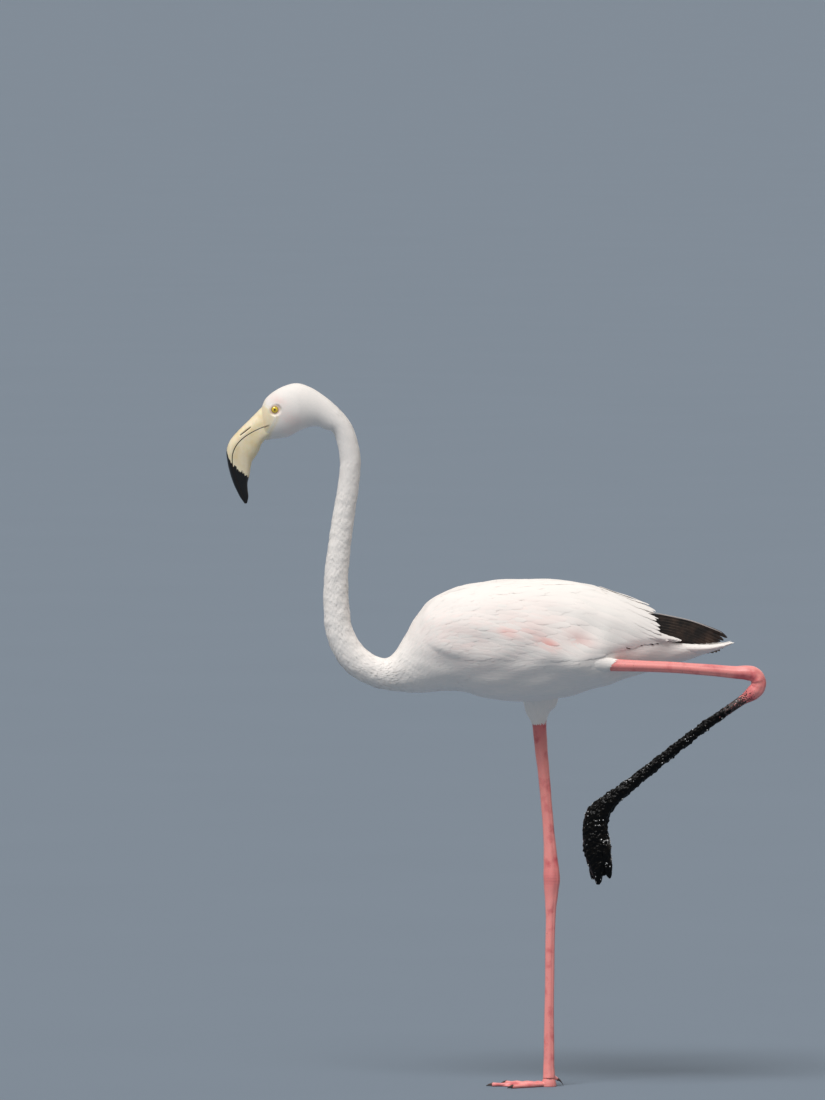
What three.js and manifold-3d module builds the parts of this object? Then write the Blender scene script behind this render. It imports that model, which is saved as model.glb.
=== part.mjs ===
/**
 * Greater flamingo, life size, standing on its right leg with the left leg lifted behind it, the toes hanging.
 * Millimetres, +Z up. The bird faces -X and its left side faces -Y. Lengths along the bird are measured from its
 * standing hock until the last step, which puts the origin on the floor under the middle of the bird.
 */
import * as THREE from "three";
import { mergeVertices } from "three/addons/utils/BufferGeometryUtils.js";
import Module from "manifold-3d";

const wasm = await Module();
wasm.setup();

const LEFT = -1; // the side of the bird that faces -Y
const RIGHT = 1;
const GAP = 0.36; // clearance between neighbouring pieces

// Trunk, neck and head: sections across the body, each with the outline points [x, z] on the back and on the
// belly, and half the width.
const HEAD_SECTIONS = [
  { back: [-406, 955], belly: [-402, 906.5], half: 13.5 }, // feather line round the bill
  { back: [-401, 965], belly: [-393, 908.5], half: 18.5 },
  { back: [-392, 973.5], belly: [-383.5, 909.5], half: 21.5 }, // eyes
  { back: [-375, 983], belly: [-369.5, 912], half: 23.5 },
  { back: [-357, 987], belly: [-354, 920], half: 23 }, // crown
  { back: [-338.5, 981.5], belly: [-340, 925.5], half: 20 },
  { back: [-320.5, 970.5], belly: [-329, 926.5], half: 17 }, // nape
  { back: [-303, 956], belly: [-317, 922], half: 15 },
];
const TRUNK_SECTIONS = [
  { back: [-206, 633], belly: [-185, 553], half: 36 }, // root of the neck
  { back: [-193, 656.5], belly: [-157, 555.5], half: 48 },
  { back: [-173.5, 679.5], belly: [-124.5, 555.5], half: 60 }, // breast
  { back: [-143, 697], belly: [-96.5, 547.5], half: 70 },
  { back: [-94, 708.5], belly: [-59, 542.5], half: 76 },
  { back: [-31, 712], belly: [-17, 542.5], half: 78 }, // widest, over the hips
  { back: [32, 708.5], belly: [28, 549.5], half: 73 },
  { back: [81, 695], belly: [71.5, 564], half: 61 },
  { back: [123, 676.5], belly: [112, 575.5], half: 46 }, // rump
  { back: [158, 652], belly: [151, 588], half: 31 },
  { back: [190, 634], belly: [193, 600], half: 19 },
  { back: [214, 624], belly: [216, 609], half: 8 }, // under the tail
];
const NECK_LINE = [
  [-294, 924],
  [-284.5, 896],
  [-282.5, 865],
  [-290, 813],
  [-298, 756],
  [-302.5, 694],
  [-296, 634],
  [-271.5, 596],
  [-239.5, 581.5],
];
const NECK_RADIUS = 14.3; // below the head
const NECK_SWELL = 8.4; // how much thicker it is at the root
const NECK_SECTIONS = 10;
const NECK_FLATTENING = 0.95; // width across over depth front to back
const NECK_LENGTHS = 5; // pieces that the neck is divided into
const TRUNK_ROUNDNESS = 2.1; // exponent of the section, where 2 is an ellipse

// Bill: stations from the feathers to the tip, with outline points of the ridge, the line of the mouth and the
// keel, and half the width.
const BILL_STATIONS = [
  { ridge: [-405.3, 954], mouth: [-393.5, 929.5], keel: [-401.8, 907.2], half: 13.2 },
  { ridge: [-415.8, 943.6], mouth: [-403.2, 926], keel: [-406.5, 901.6], half: 13.2 },
  { ridge: [-427, 932.4], mouth: [-417.2, 919.8], keel: [-409.5, 893.5], half: 13 },
  { ridge: [-440, 919.5], mouth: [-431, 911.2], keel: [-414.5, 885], half: 12.6 },
  { ridge: [-451, 906], mouth: [-441.3, 900.6], keel: [-419.6, 877.5], half: 12.2 }, // bend
  { ridge: [-455.6, 891.8], mouth: [-446.6, 888.6], keel: [-421.8, 869], half: 11.2 },
  { ridge: [-454.4, 876.4], mouth: [-447.2, 875], keel: [-423.3, 858.6], half: 9.6 },
  { ridge: [-450.8, 861], mouth: [-444.5, 861], keel: [-426, 848.2], half: 7.8 },
  { ridge: [-445.2, 844.9], mouth: [-439.4, 846.6], keel: [-426, 838.4], half: 5.8 },
  { ridge: [-437.6, 829], mouth: [-433.4, 831], keel: [-424.9, 827.6], half: 3.6 },
  { ridge: [-430, 818], mouth: [-428.6, 818.6], keel: [-427, 818.6], half: 0.9 },
];
const MOUTH_GAP = 0.5; // between the closed halves of the bill

const EYE = { at: [-387.8, 950.6], radius: 7, out: 14.2 }; // centre in the side view, and its place off the mid-plane

// Wings: each lies folded on the trunk over a span of body sections, like a leaf between an upper and a lower
// edge, given as angles round the trunk from the middle of the back.
const WING = {
  from: 1.1, // trunk sections
  to: 9.55,
  shoulder: { angle: 56, open: 0.15, share: 0.2 }, // where both edges start, and the rounded share of the length
  upper: { angle: 9, bends: 0.84, power: 1.4 }, // each edge runs level, then bends to the tip
  lower: { angle: 103, bends: 0.7, power: 1.3 },
  tip: { angle: 65, half: 3 },
  depth: 9, // how far it is let into the body's outline
  rearDepth: 0.35, // share of that depth at the tip
  proud: 1.1, // how far its edges stand off the body
};

// A limb follows a path of points [x, y, z], each with its radius front to back and its radius across.
const FLIGHT_LEFT = [
  { at: [132, -27, 650], deep: 17, wide: 5 },
  { at: [165, -22, 643], deep: 18.5, wide: 5 },
  { at: [190, -17, 638.5], deep: 16, wide: 4.5 },
  { at: [214, -13, 633.5], deep: 12, wide: 3.8 },
  { at: [234, -10, 630.5], deep: 6, wide: 2.6 },
  { at: [245, -8, 629], deep: 1.6, wide: 1.2 },
];
const FLIGHT_RIGHT = [
  { at: [132, 31, 645], deep: 16, wide: 5 },
  { at: [165, 29, 636], deep: 17, wide: 5 },
  { at: [190, 28, 627], deep: 14, wide: 4.5 },
  { at: [214, 27, 617.5], deep: 9.5, wide: 3.8 },
  { at: [231, 25, 613.5], deep: 5.5, wide: 2.6 },
  { at: [240, 24, 612], deep: 1.6, wide: 1.2 },
];
const TAIL = [
  { at: [150, 0, 620], deep: 12, wide: 22 },
  { at: [190, 0, 616.5], deep: 11, wide: 24 },
  { at: [216, 0, 616], deep: 8, wide: 22 },
  { at: [238, 0, 619.5], deep: 4.6, wide: 17 },
  { at: [256, 0, 624], deep: 1.4, wide: 8 },
];

const STANDING_LEG = [
  { at: [-16.8, 36, 566], deep: 29, wide: 24 },
  { at: [-16.8, 36, 541], deep: 26, wide: 21 },
  { at: [-19, 35, 526], deep: 18, wide: 15.5 },
  { at: [-17.5, 34, 508], deep: 10, wide: 9 }, // 3: lower edge of the feathers
  { at: [-14.7, 32, 473], deep: 9, wide: 8 },
  { at: [-11, 29.5, 438], deep: 8.1, wide: 7 },
  { at: [-7.5, 25.5, 396], deep: 7.7, wide: 6.6 },
  { at: [-4, 21.5, 354], deep: 8, wide: 7 },
  { at: [-1.2, 18, 316], deep: 10, wide: 8.6 }, // 8: top of the hock
  { at: [0, 16, 292], deep: 11.6, wide: 10 },
  { at: [-0.8, 14.5, 266], deep: 9.2, wide: 8.2 }, // 10: foot of the hock
  { at: [-1.6, 12, 235], deep: 6.9, wide: 6.2 },
  { at: [-3, 5, 140], deep: 6.5, wide: 5.8 },
  { at: [-4, -2.5, 32], deep: 7.6, wide: 7.2 },
  { at: [-4, -3.5, 12], deep: 8.6, wide: 9.6 }, // 14: root of the toes
];
// The bent hock turns round a point of the side view, between two angles from straight back.
const HOCK_BEND = { around: [274.4, 569.8], radius: 14, y: -55, turns: [87, 52, 16, -19, -54.5], deep: 10.5, wide: 9 };
const RAISED_LEG = [
  { at: [-12, -50, 607], deep: 12, wide: 10 },
  { at: [30, -57, 604], deep: 19, wide: 16 },
  { at: [60, -60.5, 599.5], deep: 15, wide: 13 },
  { at: [86, -61, 595.6], deep: 8.6, wide: 8 }, // 3: edge of the feathers
  { at: [151, -59, 593], deep: 7.8, wide: 6.8 },
  { at: [207, -57, 589.4], deep: 7.9, wide: 6.8 },
  { at: [256, -55.5, 585], deep: 8.8, wide: 7.8 }, // 6: start of the hock
  ...HOCK_BEND.turns.map((turn) => ({ at: hockPoint(turn), deep: HOCK_BEND.deep, wide: HOCK_BEND.wide })),
  { at: [262, -54, 543.6], deep: 8.8, wide: 7.8 }, // 12: end of the hock
  { at: [207, -53, 505], deep: 7.8, wide: 7 },
  { at: [151, -52.5, 461], deep: 8.6, wide: 7.6 },
  { at: [104, -52, 423.5], deep: 9.8, wide: 8.6 },
  { at: [80, -52, 404], deep: 12.6, wide: 10.5 }, // 16: root of the toes, in mud
  { at: [63.5, -52, 384], deep: 17.5, wide: 12.5 },
  { at: [60.4, -52, 361], deep: 18.6, wide: 13.5 },
  { at: [63, -52, 338], deep: 20, wide: 14 },
  { at: [65, -52, 316], deep: 16, wide: 12.5 },
  { at: [66, -52, 300], deep: 10, wide: 8 },
];
// Tips of the hanging toes, inner, middle and outer, [x, y, z], with the radius of their mud at the root.
const HANGING_TOES = [
  { root: [60, -45, 345], tip: [57, -45, 294], radius: 9 },
  { root: [64, -53, 345], tip: [64.5, -53, 287.5], radius: 10 },
  { root: [72, -60, 345], tip: [80, -58, 297], radius: 9 },
];

// Standing foot: the toes fan out from the end of the leg, headed in degrees from straight ahead, + to the left.
const FOOT = { at: [-4, -3.5], pad: 10.5, height: 14 };
const TOES = [
  { name: "inner", heading: 33, length: 62, joints: 2, half: 4.6 },
  { name: "middle", heading: 1, length: 80, joints: 3, half: 5 },
  { name: "outer", heading: -31, length: 70, joints: 4, half: 4.6 },
];
const HIND_TOE = { heading: 196, length: 13, rise: 15 };
const CLAW = { length: 8, half: 2.6 };
const WEB = { bottom: 0, top: 2.2, reach: 0.86, scoop: 0.62 };

const COLOURS = {
  plumage: { color: 0xf2eee8, roughness: 0.85 },
  wing: { color: 0xf4e6de, roughness: 0.85 },
  flight: { color: 0x231e1c, roughness: 0.6 },
  legSkin: { color: 0xe58a86, roughness: 0.55 },
  mud: { color: 0x14120f, roughness: 0.25 },
  billHorn: { color: 0xe9deb8, roughness: 0.4 },
  claw: { color: 0x2a2422, roughness: 0.45 },
  iris: { color: 0xd8bf3a, roughness: 0.1 },
};
const materials = Object.fromEntries(
  Object.entries(COLOURS).map(([name, look]) => [name, new THREE.MeshStandardMaterial({ ...look, metalness: 0 })]),
);

/** A point of the bent hock's middle line. */
function hockPoint(turn) {
  const angle = THREE.MathUtils.degToRad(turn);
  const { around, radius, y } = HOCK_BEND;
  return [around[0] + radius * Math.cos(angle), y, around[1] + radius * Math.sin(angle)];
}

// --- Solids ---------------------------------------------------------------------------------------------------

/** A closed geometry as a manifold, its faces turned to point out. */
function solidOf(geometry) {
  geometry.deleteAttribute("normal");
  geometry.deleteAttribute("uv");
  const merged = mergeVertices(geometry, 1e-3);
  const vertProperties = merged.attributes.position.array;
  const triVerts = new Uint32Array(merged.index.array);
  const solid = new wasm.Manifold(new wasm.Mesh({ numProp: 3, vertProperties, triVerts }));
  if (solid.volume() > 0) return solid;
  for (let i = 0; i < triVerts.length; i += 3) {
    [triVerts[i + 1], triVerts[i + 2]] = [triVerts[i + 2], triVerts[i + 1]];
  }
  return new wasm.Manifold(new wasm.Mesh({ numProp: 3, vertProperties, triVerts }));
}

function union(solids) {
  return solids.reduce((whole, piece) => whole.add(piece));
}

function without(solid, cutters) {
  return cutters.reduce((rest, cutter) => rest.subtract(cutter), solid);
}

/** Moves every vertex of a geometry to the place that a function of its old place gives. */
function remap(geometry, place) {
  const position = geometry.attributes.position;
  const from = new THREE.Vector3();
  for (let i = 0; i < position.count; i++) {
    const to = place(from.fromBufferAttribute(position, i));
    position.setXYZ(i, to.x, to.y, to.z);
  }
  return geometry;
}

/** A tube with flat ends, whose point at a share along it, an angle round it and a reach from its middle is placed. */
function tube(sides, steps, place) {
  const cylinder = new THREE.CylinderGeometry(1, 1, 1, sides, steps);
  return solidOf(remap(cylinder, (p) => place(0.5 - p.y, Math.atan2(p.z, p.x), Math.hypot(p.x, p.z))));
}

/** A sheet with two faces, whose point at shares along and across it, on the inner or outer face, is placed. */
function shell(alongSteps, acrossSteps, place) {
  const box = new THREE.BoxGeometry(1, 1, 1, alongSteps, acrossSteps, 1);
  return solidOf(remap(box, (p) => place(p.x + 0.5, p.y + 0.5, p.z > 0)));
}

// --- Body -----------------------------------------------------------------------------------------------------

const smooth = (points) => new THREE.CatmullRomCurve3(points.map((p) => new THREE.Vector3(...p)));
const inSideView = ([x, z]) => [x, 0, z];

/** Sections of the neck, square to its line, thicker towards the root. */
function neckSections() {
  const line = smooth(NECK_LINE.map(inSideView));
  return Array.from({ length: NECK_SECTIONS }, (_, i) => {
    const share = i / (NECK_SECTIONS - 1);
    const centre = line.getPointAt(share);
    const along = line.getTangentAt(share);
    const radius = NECK_RADIUS + NECK_SWELL * share ** 2;
    return {
      back: [centre.x - along.z * radius, centre.z + along.x * radius],
      belly: [centre.x + along.z * radius, centre.z - along.x * radius],
      half: radius * NECK_FLATTENING,
    };
  });
}

const SECTIONS = [...HEAD_SECTIONS, ...neckSections(), ...TRUNK_SECTIONS];
const NECK_START = HEAD_SECTIONS.length - 1;
const TRUNK_START = HEAD_SECTIONS.length + NECK_SECTIONS;
const backLine = smooth(SECTIONS.map((section) => inSideView(section.back)));
const bellyLine = smooth(SECTIONS.map((section) => inSideView(section.belly)));
const halfWidths = smooth(SECTIONS.map((section) => [section.half, 0, 0]));

/** A point of the body at a section number, an angle from the back (to the left if it is over 0) and a reach. */
function bodyPoint(section, angle, { reach = 1, lift = 0, shift = 0 } = {}) {
  const share = THREE.MathUtils.clamp(section / (SECTIONS.length - 1), 0, 1);
  const back = backLine.getPoint(share);
  const belly = bellyLine.getPoint(share);
  const half = halfWidths.getPoint(share).x;
  const trunkShare = THREE.MathUtils.smoothstep(section, TRUNK_START - 2, TRUNK_START + 2);
  const power = 2 / THREE.MathUtils.lerp(2, TRUNK_ROUNDNESS, trunkShare);
  const rounded = (value) => Math.sign(value) * Math.abs(value) ** power;
  const centre = back.clone().add(belly).multiplyScalar(0.5);
  const out = back.clone().sub(centre).multiplyScalar(rounded(Math.cos(angle)));
  out.y = LEFT * half * rounded(Math.sin(angle));
  out.setLength((out.length() + lift) * reach);
  const rise = back.sub(belly).normalize();
  return centre.add(out).add(new THREE.Vector3(rise.z, 0, -rise.x).multiplyScalar(shift));
}

/** The angles of a folded wing's upper and lower edge at a share along it. */
function wingEdges(along) {
  const { shoulder, upper, lower, tip } = WING;
  const swell = Math.min(1, along / shoulder.share);
  const open = Math.max(shoulder.open, Math.sqrt(1 - (1 - swell) ** 2));
  const edge = ({ angle, bends, power }, tipAngle) => {
    const bend = Math.max(0, (Math.min(1, along) - bends) / (1 - bends)) ** power;
    const opened = THREE.MathUtils.lerp(shoulder.angle, angle, open);
    return THREE.MathUtils.degToRad(THREE.MathUtils.lerp(opened, tipAngle, bend));
  };
  return [edge(upper, tip.angle - tip.half), edge(lower, tip.angle + tip.half)];
}

/** How far a wing is let into the body's outline, from 0 at its edges, at shares along and across it. */
function wingDepth(along, across) {
  const front = THREE.MathUtils.smoothstep(along, 0, WING.shoulder.share);
  const rear = THREE.MathUtils.lerp(1, WING.rearDepth, THREE.MathUtils.smoothstep(along, 0.6, 1));
  return WING.depth * front * rear * Math.sin(Math.PI * across) ** 0.6;
}

/** A length of the body between two sections, its outer surface grown by an amount, with its ends drawn in. */
function bodyLength(from, to, sides, steps, grow = 0) {
  const endDraw = GAP / 2 - grow;
  return tube(sides, steps, (share, angle, reach) => {
    const shift = share === 0 ? endDraw : share === 1 ? -endDraw : 0;
    return bodyPoint(THREE.MathUtils.lerp(from, to, share), angle, { reach, lift: grow, shift });
  });
}

/** The folded coverts and tertials of one side. */
function foldedWing(side, grow = 0) {
  const { from, to, proud } = WING;
  const edgeTurn = grow * 0.02; // a grown edge's turn round the trunk, and its move along it in sections
  return shell(16, 8, (along, across, outer) => {
    const [upper, lower] = wingEdges(along);
    const angle = THREE.MathUtils.lerp(upper - edgeTurn, lower + edgeTurn, across);
    const section = TRUNK_START + THREE.MathUtils.lerp(from - edgeTurn, to + edgeTurn, along);
    const lift = outer ? proud + grow : -wingDepth(along, across) - grow;
    return bodyPoint(section, -side * angle, { lift });
  });
}

// --- Bill and eyes --------------------------------------------------------------------------------------------

const ridgeLine = smooth(BILL_STATIONS.map((station) => inSideView(station.ridge)));
const mouthLine = smooth(BILL_STATIONS.map((station) => inSideView(station.mouth)));
const keelLine = smooth(BILL_STATIONS.map((station) => inSideView(station.keel)));
const billHalves = smooth(BILL_STATIONS.map((station) => [station.half, 0, 0]));

/** One half of the bill: a dome from the line of the mouth to the ridge or the keel, with a flat mouth side. */
function billHalf(outline, roundness, grow = 0) {
  return tube(12, 11, (share, angle, reach) => {
    const mouth = mouthLine.getPoint(share);
    const out = outline.getPoint(share).sub(mouth);
    const depth = out.length() + grow;
    const half = billHalves.getPoint(share).x + grow;
    const mouthSide = Math.min(MOUTH_GAP / 2, depth / 4) - grow;
    const dome = Math.max(0, Math.sin(angle)) ** roundness;
    out.setLength(mouthSide + (depth - mouthSide) * dome * reach);
    const back = share === 0 ? mouth.clone().sub(mouthLine.getPoint(0.1)).setLength(grow) : new THREE.Vector3();
    return mouth.add(out).add(back).add(new THREE.Vector3(0, half * Math.cos(angle) * reach, 0));
  });
}

const upperBill = (grow) => billHalf(ridgeLine, 0.85, grow);
const lowerBill = (grow) => billHalf(keelLine, 0.6, grow);

function eyeball(side, grow = 0) {
  const ball = new THREE.SphereGeometry(EYE.radius + grow, 12, 8);
  return solidOf(ball.translate(EYE.at[0], side * EYE.out, EYE.at[1]));
}

// --- Limbs ----------------------------------------------------------------------------------------------------

/** A length of a limb between two of its stations: ovals square to a smooth path. */
function limb(stations, from, to, { sides = 12, steps = 6, grow = 0 } = {}) {
  const path = smooth(stations.map((station) => station.at));
  const sizes = smooth(stations.map((station) => [station.deep, station.wide, 0]));
  const across = new THREE.Vector3(0, 1, 0);
  return tube(sides, steps, (share, angle, reach) => {
    const at = THREE.MathUtils.lerp(from, to, share) / (stations.length - 1);
    const centre = path.getPoint(at);
    const along = path.getTangent(at);
    const side = across.clone().addScaledVector(along, -along.y).normalize();
    const front = new THREE.Vector3().crossVectors(along, side);
    const { x: deep, y: wide } = sizes.getPoint(at);
    const endDraw = share === 0 ? GAP / 2 - grow : share === 1 ? grow - GAP / 2 : 0;
    return centre
      .addScaledVector(front, (deep + grow) * reach * Math.cos(angle))
      .addScaledVector(side, (wide + grow) * reach * Math.sin(angle))
      .addScaledVector(along, endDraw);
  });
}

/** The point at a distance along a toe's heading from the root of the toes, at a height. */
function alongToe(heading, distance, sideways, height) {
  const turn = THREE.MathUtils.degToRad(heading);
  const forward = [-Math.cos(turn), -Math.sin(turn)];
  return new THREE.Vector3(
    FOOT.at[0] + forward[0] * distance - forward[1] * sideways,
    FOOT.at[1] + forward[1] * distance + forward[0] * sideways,
    height,
  );
}

/** A toe that lies flat, swollen at each joint. */
function toe({ heading, length, joints, half }) {
  return tube(8, 2 * joints, (share, angle, reach) => {
    const swelling = 0.85 + 0.15 * Math.cos(share * joints * 2 * Math.PI);
    const taper = 1 - 0.35 * share;
    const size = half * swelling * taper * reach;
    const height = half * taper * 0.8 + size * 0.95 * Math.sin(angle);
    return alongToe(heading, share * length, size * Math.cos(angle), Math.max(0, height));
  });
}

/** The short raised toe behind. */
function hindToe() {
  const { heading, length, rise } = HIND_TOE;
  return tube(8, 3, (share, angle, reach) => {
    const size = (3.8 - 1.4 * share) * reach;
    const height = rise - 5 * share ** 2 + size * Math.sin(angle);
    return alongToe(heading, share * length, size * Math.cos(angle), height);
  });
}

/** A horny claw past the end of a toe, curved down to just above the floor. */
function claw(heading, from, height) {
  return tube(8, 3, (share, angle, reach) => {
    const size = CLAW.half * (1 - 0.85 * share) * reach;
    const centre = THREE.MathUtils.lerp(height, 1, share ** 2);
    const z = Math.max(0.3, centre + size * Math.sin(angle));
    return alongToe(heading, from + GAP + share * CLAW.length, size * Math.cos(angle), z);
  });
}

/** The web between two toes: a flat sheet with a scooped front edge. */
function web(first, second) {
  const corner = (toeSize, share) => {
    const point = alongToe(toeSize.heading, toeSize.length * share, 0, 0);
    return new THREE.Vector2(point.x, point.y);
  };
  const outline = new THREE.Shape();
  const start = corner(first, WEB.reach);
  const end = corner(second, WEB.reach);
  const dip = corner(first, WEB.scoop).add(corner(second, WEB.scoop)).multiplyScalar(0.5);
  outline.moveTo(...FOOT.at);
  outline.lineTo(start.x, start.y);
  outline.quadraticCurveTo(dip.x, dip.y, end.x, end.y);
  outline.closePath();
  const sheet = new THREE.ExtrudeGeometry(outline, {
    depth: WEB.top - WEB.bottom,
    bevelEnabled: false,
    curveSegments: 4,
  });
  return solidOf(sheet.translate(0, 0, WEB.bottom));
}

/** The standing foot: pad, toes and webs grown together. */
function standingFoot() {
  const pad = tube(14, 3, (share, angle, reach) => {
    const radius = FOOT.pad * Math.sqrt(1 - (0.78 * share) ** 2) * reach;
    return new THREE.Vector3(
      FOOT.at[0] + radius * Math.cos(angle),
      FOOT.at[1] + radius * Math.sin(angle),
      FOOT.height * share,
    );
  });
  const webs = TOES.slice(1).map((next, i) => web(TOES[i], next));
  return union([pad, ...TOES.map(toe), hindToe(), ...webs]);
}

/** One toe of the lifted foot, hanging in its coat of mud. */
function hangingToe({ root, tip, radius }) {
  const line = new THREE.LineCurve3(new THREE.Vector3(...root), new THREE.Vector3(...tip));
  return tube(8, 4, (share, angle, reach) => {
    const size = radius * Math.sqrt(1 - 0.93 * share ** 3) * reach;
    return line.getPoint(share).add(new THREE.Vector3(size * Math.cos(angle), size * Math.sin(angle), 0));
  });
}

// --- The bird -------------------------------------------------------------------------------------------------

const pieces = [];
function add(name, material, solid) {
  pieces.push({ name, material, solid });
}

const lastSection = SECTIONS.length - 1;
const neckLength = (TRUNK_START - NECK_START) / NECK_LENGTHS;
const trunk = bodyLength(TRUNK_START, lastSection, 26, 15);
const trunkGrown = bodyLength(TRUNK_START, lastSection, 26, 15, GAP);
const bothSides = [LEFT, RIGHT];
const wingsGrown = bothSides.map((side) => foldedWing(side, GAP));
const tail = limb(TAIL, 0, TAIL.length - 1, { sides: 14, steps: 7 });
const tailGrown = limb(TAIL, 0, TAIL.length - 1, { sides: 14, steps: 7, grow: GAP });

const headWhole = bodyLength(0, NECK_START, 20, 12);
const headCutters = [upperBill(GAP), lowerBill(GAP), ...bothSides.map((side) => eyeball(side, GAP))];
add("head", "plumage", without(headWhole, headCutters));
add("bill_upper", "billHorn", upperBill(0));
add("bill_lower", "billHorn", lowerBill(0));
add("eye_left", "iris", eyeball(LEFT));
add("eye_right", "iris", eyeball(RIGHT));
for (let i = 0; i < NECK_LENGTHS; i++) {
  const start = NECK_START + neckLength * i;
  add(`neck_${i + 1}`, "plumage", bodyLength(start, start + neckLength, 14, 4));
}
add("trunk", "plumage", without(trunk, wingsGrown));
add("wing_left", "wing", foldedWing(LEFT));
add("wing_right", "wing", foldedWing(RIGHT));
add("tail", "plumage", without(tail, [trunkGrown, ...wingsGrown]));
for (const [name, stations] of Object.entries({ flight_left: FLIGHT_LEFT, flight_right: FLIGHT_RIGHT })) {
  const quills = limb(stations, 0, stations.length - 1, { sides: 10, steps: 8 });
  add(name, "flight", without(quills, [trunkGrown, tailGrown, ...wingsGrown]));
}

const thighCutters = [trunkGrown, ...wingsGrown];
add("thigh_right", "plumage", without(limb(STANDING_LEG, 0, 3, { sides: 14 }), thighCutters));
add("tibia_right", "legSkin", limb(STANDING_LEG, 3, 8));
add("hock_right", "legSkin", limb(STANDING_LEG, 8, 10));
add("tarsus_right", "legSkin", limb(STANDING_LEG, 10, 14));
const tarsusEnd = limb(STANDING_LEG, 10, 14, { grow: GAP });
add("foot_right", "legSkin", without(standingFoot(), [tarsusEnd]));
for (const { name, heading, length } of TOES) {
  add(`claw_right_${name}`, "claw", claw(heading, length, 3));
}
add("claw_right_hind", "claw", claw(HIND_TOE.heading, HIND_TOE.length, HIND_TOE.rise - 5));

add("thigh_left", "plumage", without(limb(RAISED_LEG, 0, 3, { sides: 14 }), thighCutters));
add("tibia_left", "legSkin", limb(RAISED_LEG, 3, 6));
add("hock_left", "legSkin", limb(RAISED_LEG, 6, 12, { steps: 12 }));
add("tarsus_left", "mud", limb(RAISED_LEG, 12, 16));
const lastToeStation = RAISED_LEG.length - 1;
const hangingFoot = limb(RAISED_LEG, 16, lastToeStation, { sides: 12, steps: 6 });
add("foot_left", "mud", union([hangingFoot, ...HANGING_TOES.map(hangingToe)]));

/** A named mesh of a solid. */
function meshOf({ name, material, solid }) {
  const { vertProperties, triVerts } = solid.getMesh();
  const geometry = new THREE.BufferGeometry()
    .setAttribute("position", new THREE.BufferAttribute(vertProperties, 3))
    .setIndex(new THREE.BufferAttribute(triVerts, 1));
  geometry.computeVertexNormals();
  const mesh = new THREE.Mesh(geometry, materials[material]);
  mesh.name = name;
  return mesh;
}

const bird = new THREE.Group();
bird.add(...pieces.map(meshOf));
const size = new THREE.Box3().setFromObject(bird, true);
const middle = size.getCenter(new THREE.Vector3());
for (const mesh of bird.children) mesh.geometry.translate(-middle.x, -middle.y, -size.min.z);

export default bird;
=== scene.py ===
"""Greater flamingo, life size: skin, plumage, bill, eyes, claws and mud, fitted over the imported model.

Shapes are worked out in bird millimetres: X runs from bill (-) to tail (+) with 0 at the standing hock, the
bird's left side faces -Y, and Z is the height over the floor. place() turns them into the frame's metres.
"""
import math

import bpy
import numpy as np
from bpy.props import FloatProperty, FloatVectorProperty, PointerProperty
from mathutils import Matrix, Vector


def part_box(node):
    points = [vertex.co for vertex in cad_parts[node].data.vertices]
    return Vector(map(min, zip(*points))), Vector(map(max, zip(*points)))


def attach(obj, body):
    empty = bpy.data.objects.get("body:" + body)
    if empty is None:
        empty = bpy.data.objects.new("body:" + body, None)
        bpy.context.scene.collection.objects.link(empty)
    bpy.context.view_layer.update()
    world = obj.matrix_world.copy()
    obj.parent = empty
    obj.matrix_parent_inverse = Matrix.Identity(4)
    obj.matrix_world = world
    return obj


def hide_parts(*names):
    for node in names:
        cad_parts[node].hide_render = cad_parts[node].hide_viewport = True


bl_info = {
    "name": "Greater flamingo",
    "version": (1, 0, 0),
    "blender": (4, 5, 0),
    "location": "View3D > Sidebar > Flamingo",
    "description": "Makes the skin, feathers, bill, eyes and mud of a life-size greater flamingo",
    "category": "Object",
}

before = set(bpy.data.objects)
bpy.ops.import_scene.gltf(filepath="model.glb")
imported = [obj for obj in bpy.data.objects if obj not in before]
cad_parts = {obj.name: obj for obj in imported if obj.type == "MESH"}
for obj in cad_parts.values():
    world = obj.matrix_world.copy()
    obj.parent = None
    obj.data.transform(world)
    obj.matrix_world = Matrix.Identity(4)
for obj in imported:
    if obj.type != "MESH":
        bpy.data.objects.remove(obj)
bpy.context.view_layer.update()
MM = 0.001
EYE = np.array([-387.8, -14.2, 950.6])  # centre of the left eyeball
EYE_RADIUS = 7.0
EYE_BOX = np.array(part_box("eye_left"))
ORIGIN = EYE - EYE_BOX.mean(0) / MM  # the frame's origin, in bird millimetres

# --- Shape of the bird, in bird millimetres --------------------------------------------------------------

# Sections of head and trunk: outline point on the back, outline point on the belly (x, z), half the width.
HEAD_SECTIONS = [
    (-406, 955, -402, 906.5, 13.5),
    (-401, 965, -393, 908.5, 18.5),
    (-392, 973.5, -383.5, 909.5, 21.5),
    (-375, 983, -369.5, 912, 23.5),
    (-357, 987, -354, 920, 23),
    (-338.5, 981.5, -340, 925.5, 20),
    (-320.5, 970.5, -329, 926.5, 17),
    (-303, 956, -317, 922, 15),
]
TRUNK_SECTIONS = [
    (-206, 633, -185, 553, 36),
    (-193, 656.5, -157, 555.5, 48),
    (-173.5, 679.5, -124.5, 555.5, 60),
    (-143, 697, -96.5, 547.5, 70),
    (-94, 708.5, -59, 542.5, 76),
    (-31, 712, -17, 542.5, 78),
    (32, 708.5, 28, 549.5, 73),
    (81, 695, 71.5, 564, 61),
    (123, 676.5, 112, 575.5, 46),
    (158, 652, 151, 588, 31),
    (190, 634, 193, 600, 19),
    (214, 624, 216, 609, 8),
]
NECK_LINE = [
    (-294, 924),
    (-284.5, 896),
    (-282.5, 865),
    (-290, 813),
    (-298, 756),
    (-302.5, 694),
    (-296, 634),
    (-271.5, 596),
    (-239.5, 581.5),
]
NECK_RADIUS, NECK_SWELL, NECK_FLATTENING = 14.3, 8.4, 0.95
NECK_SECTIONS = 10
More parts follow.
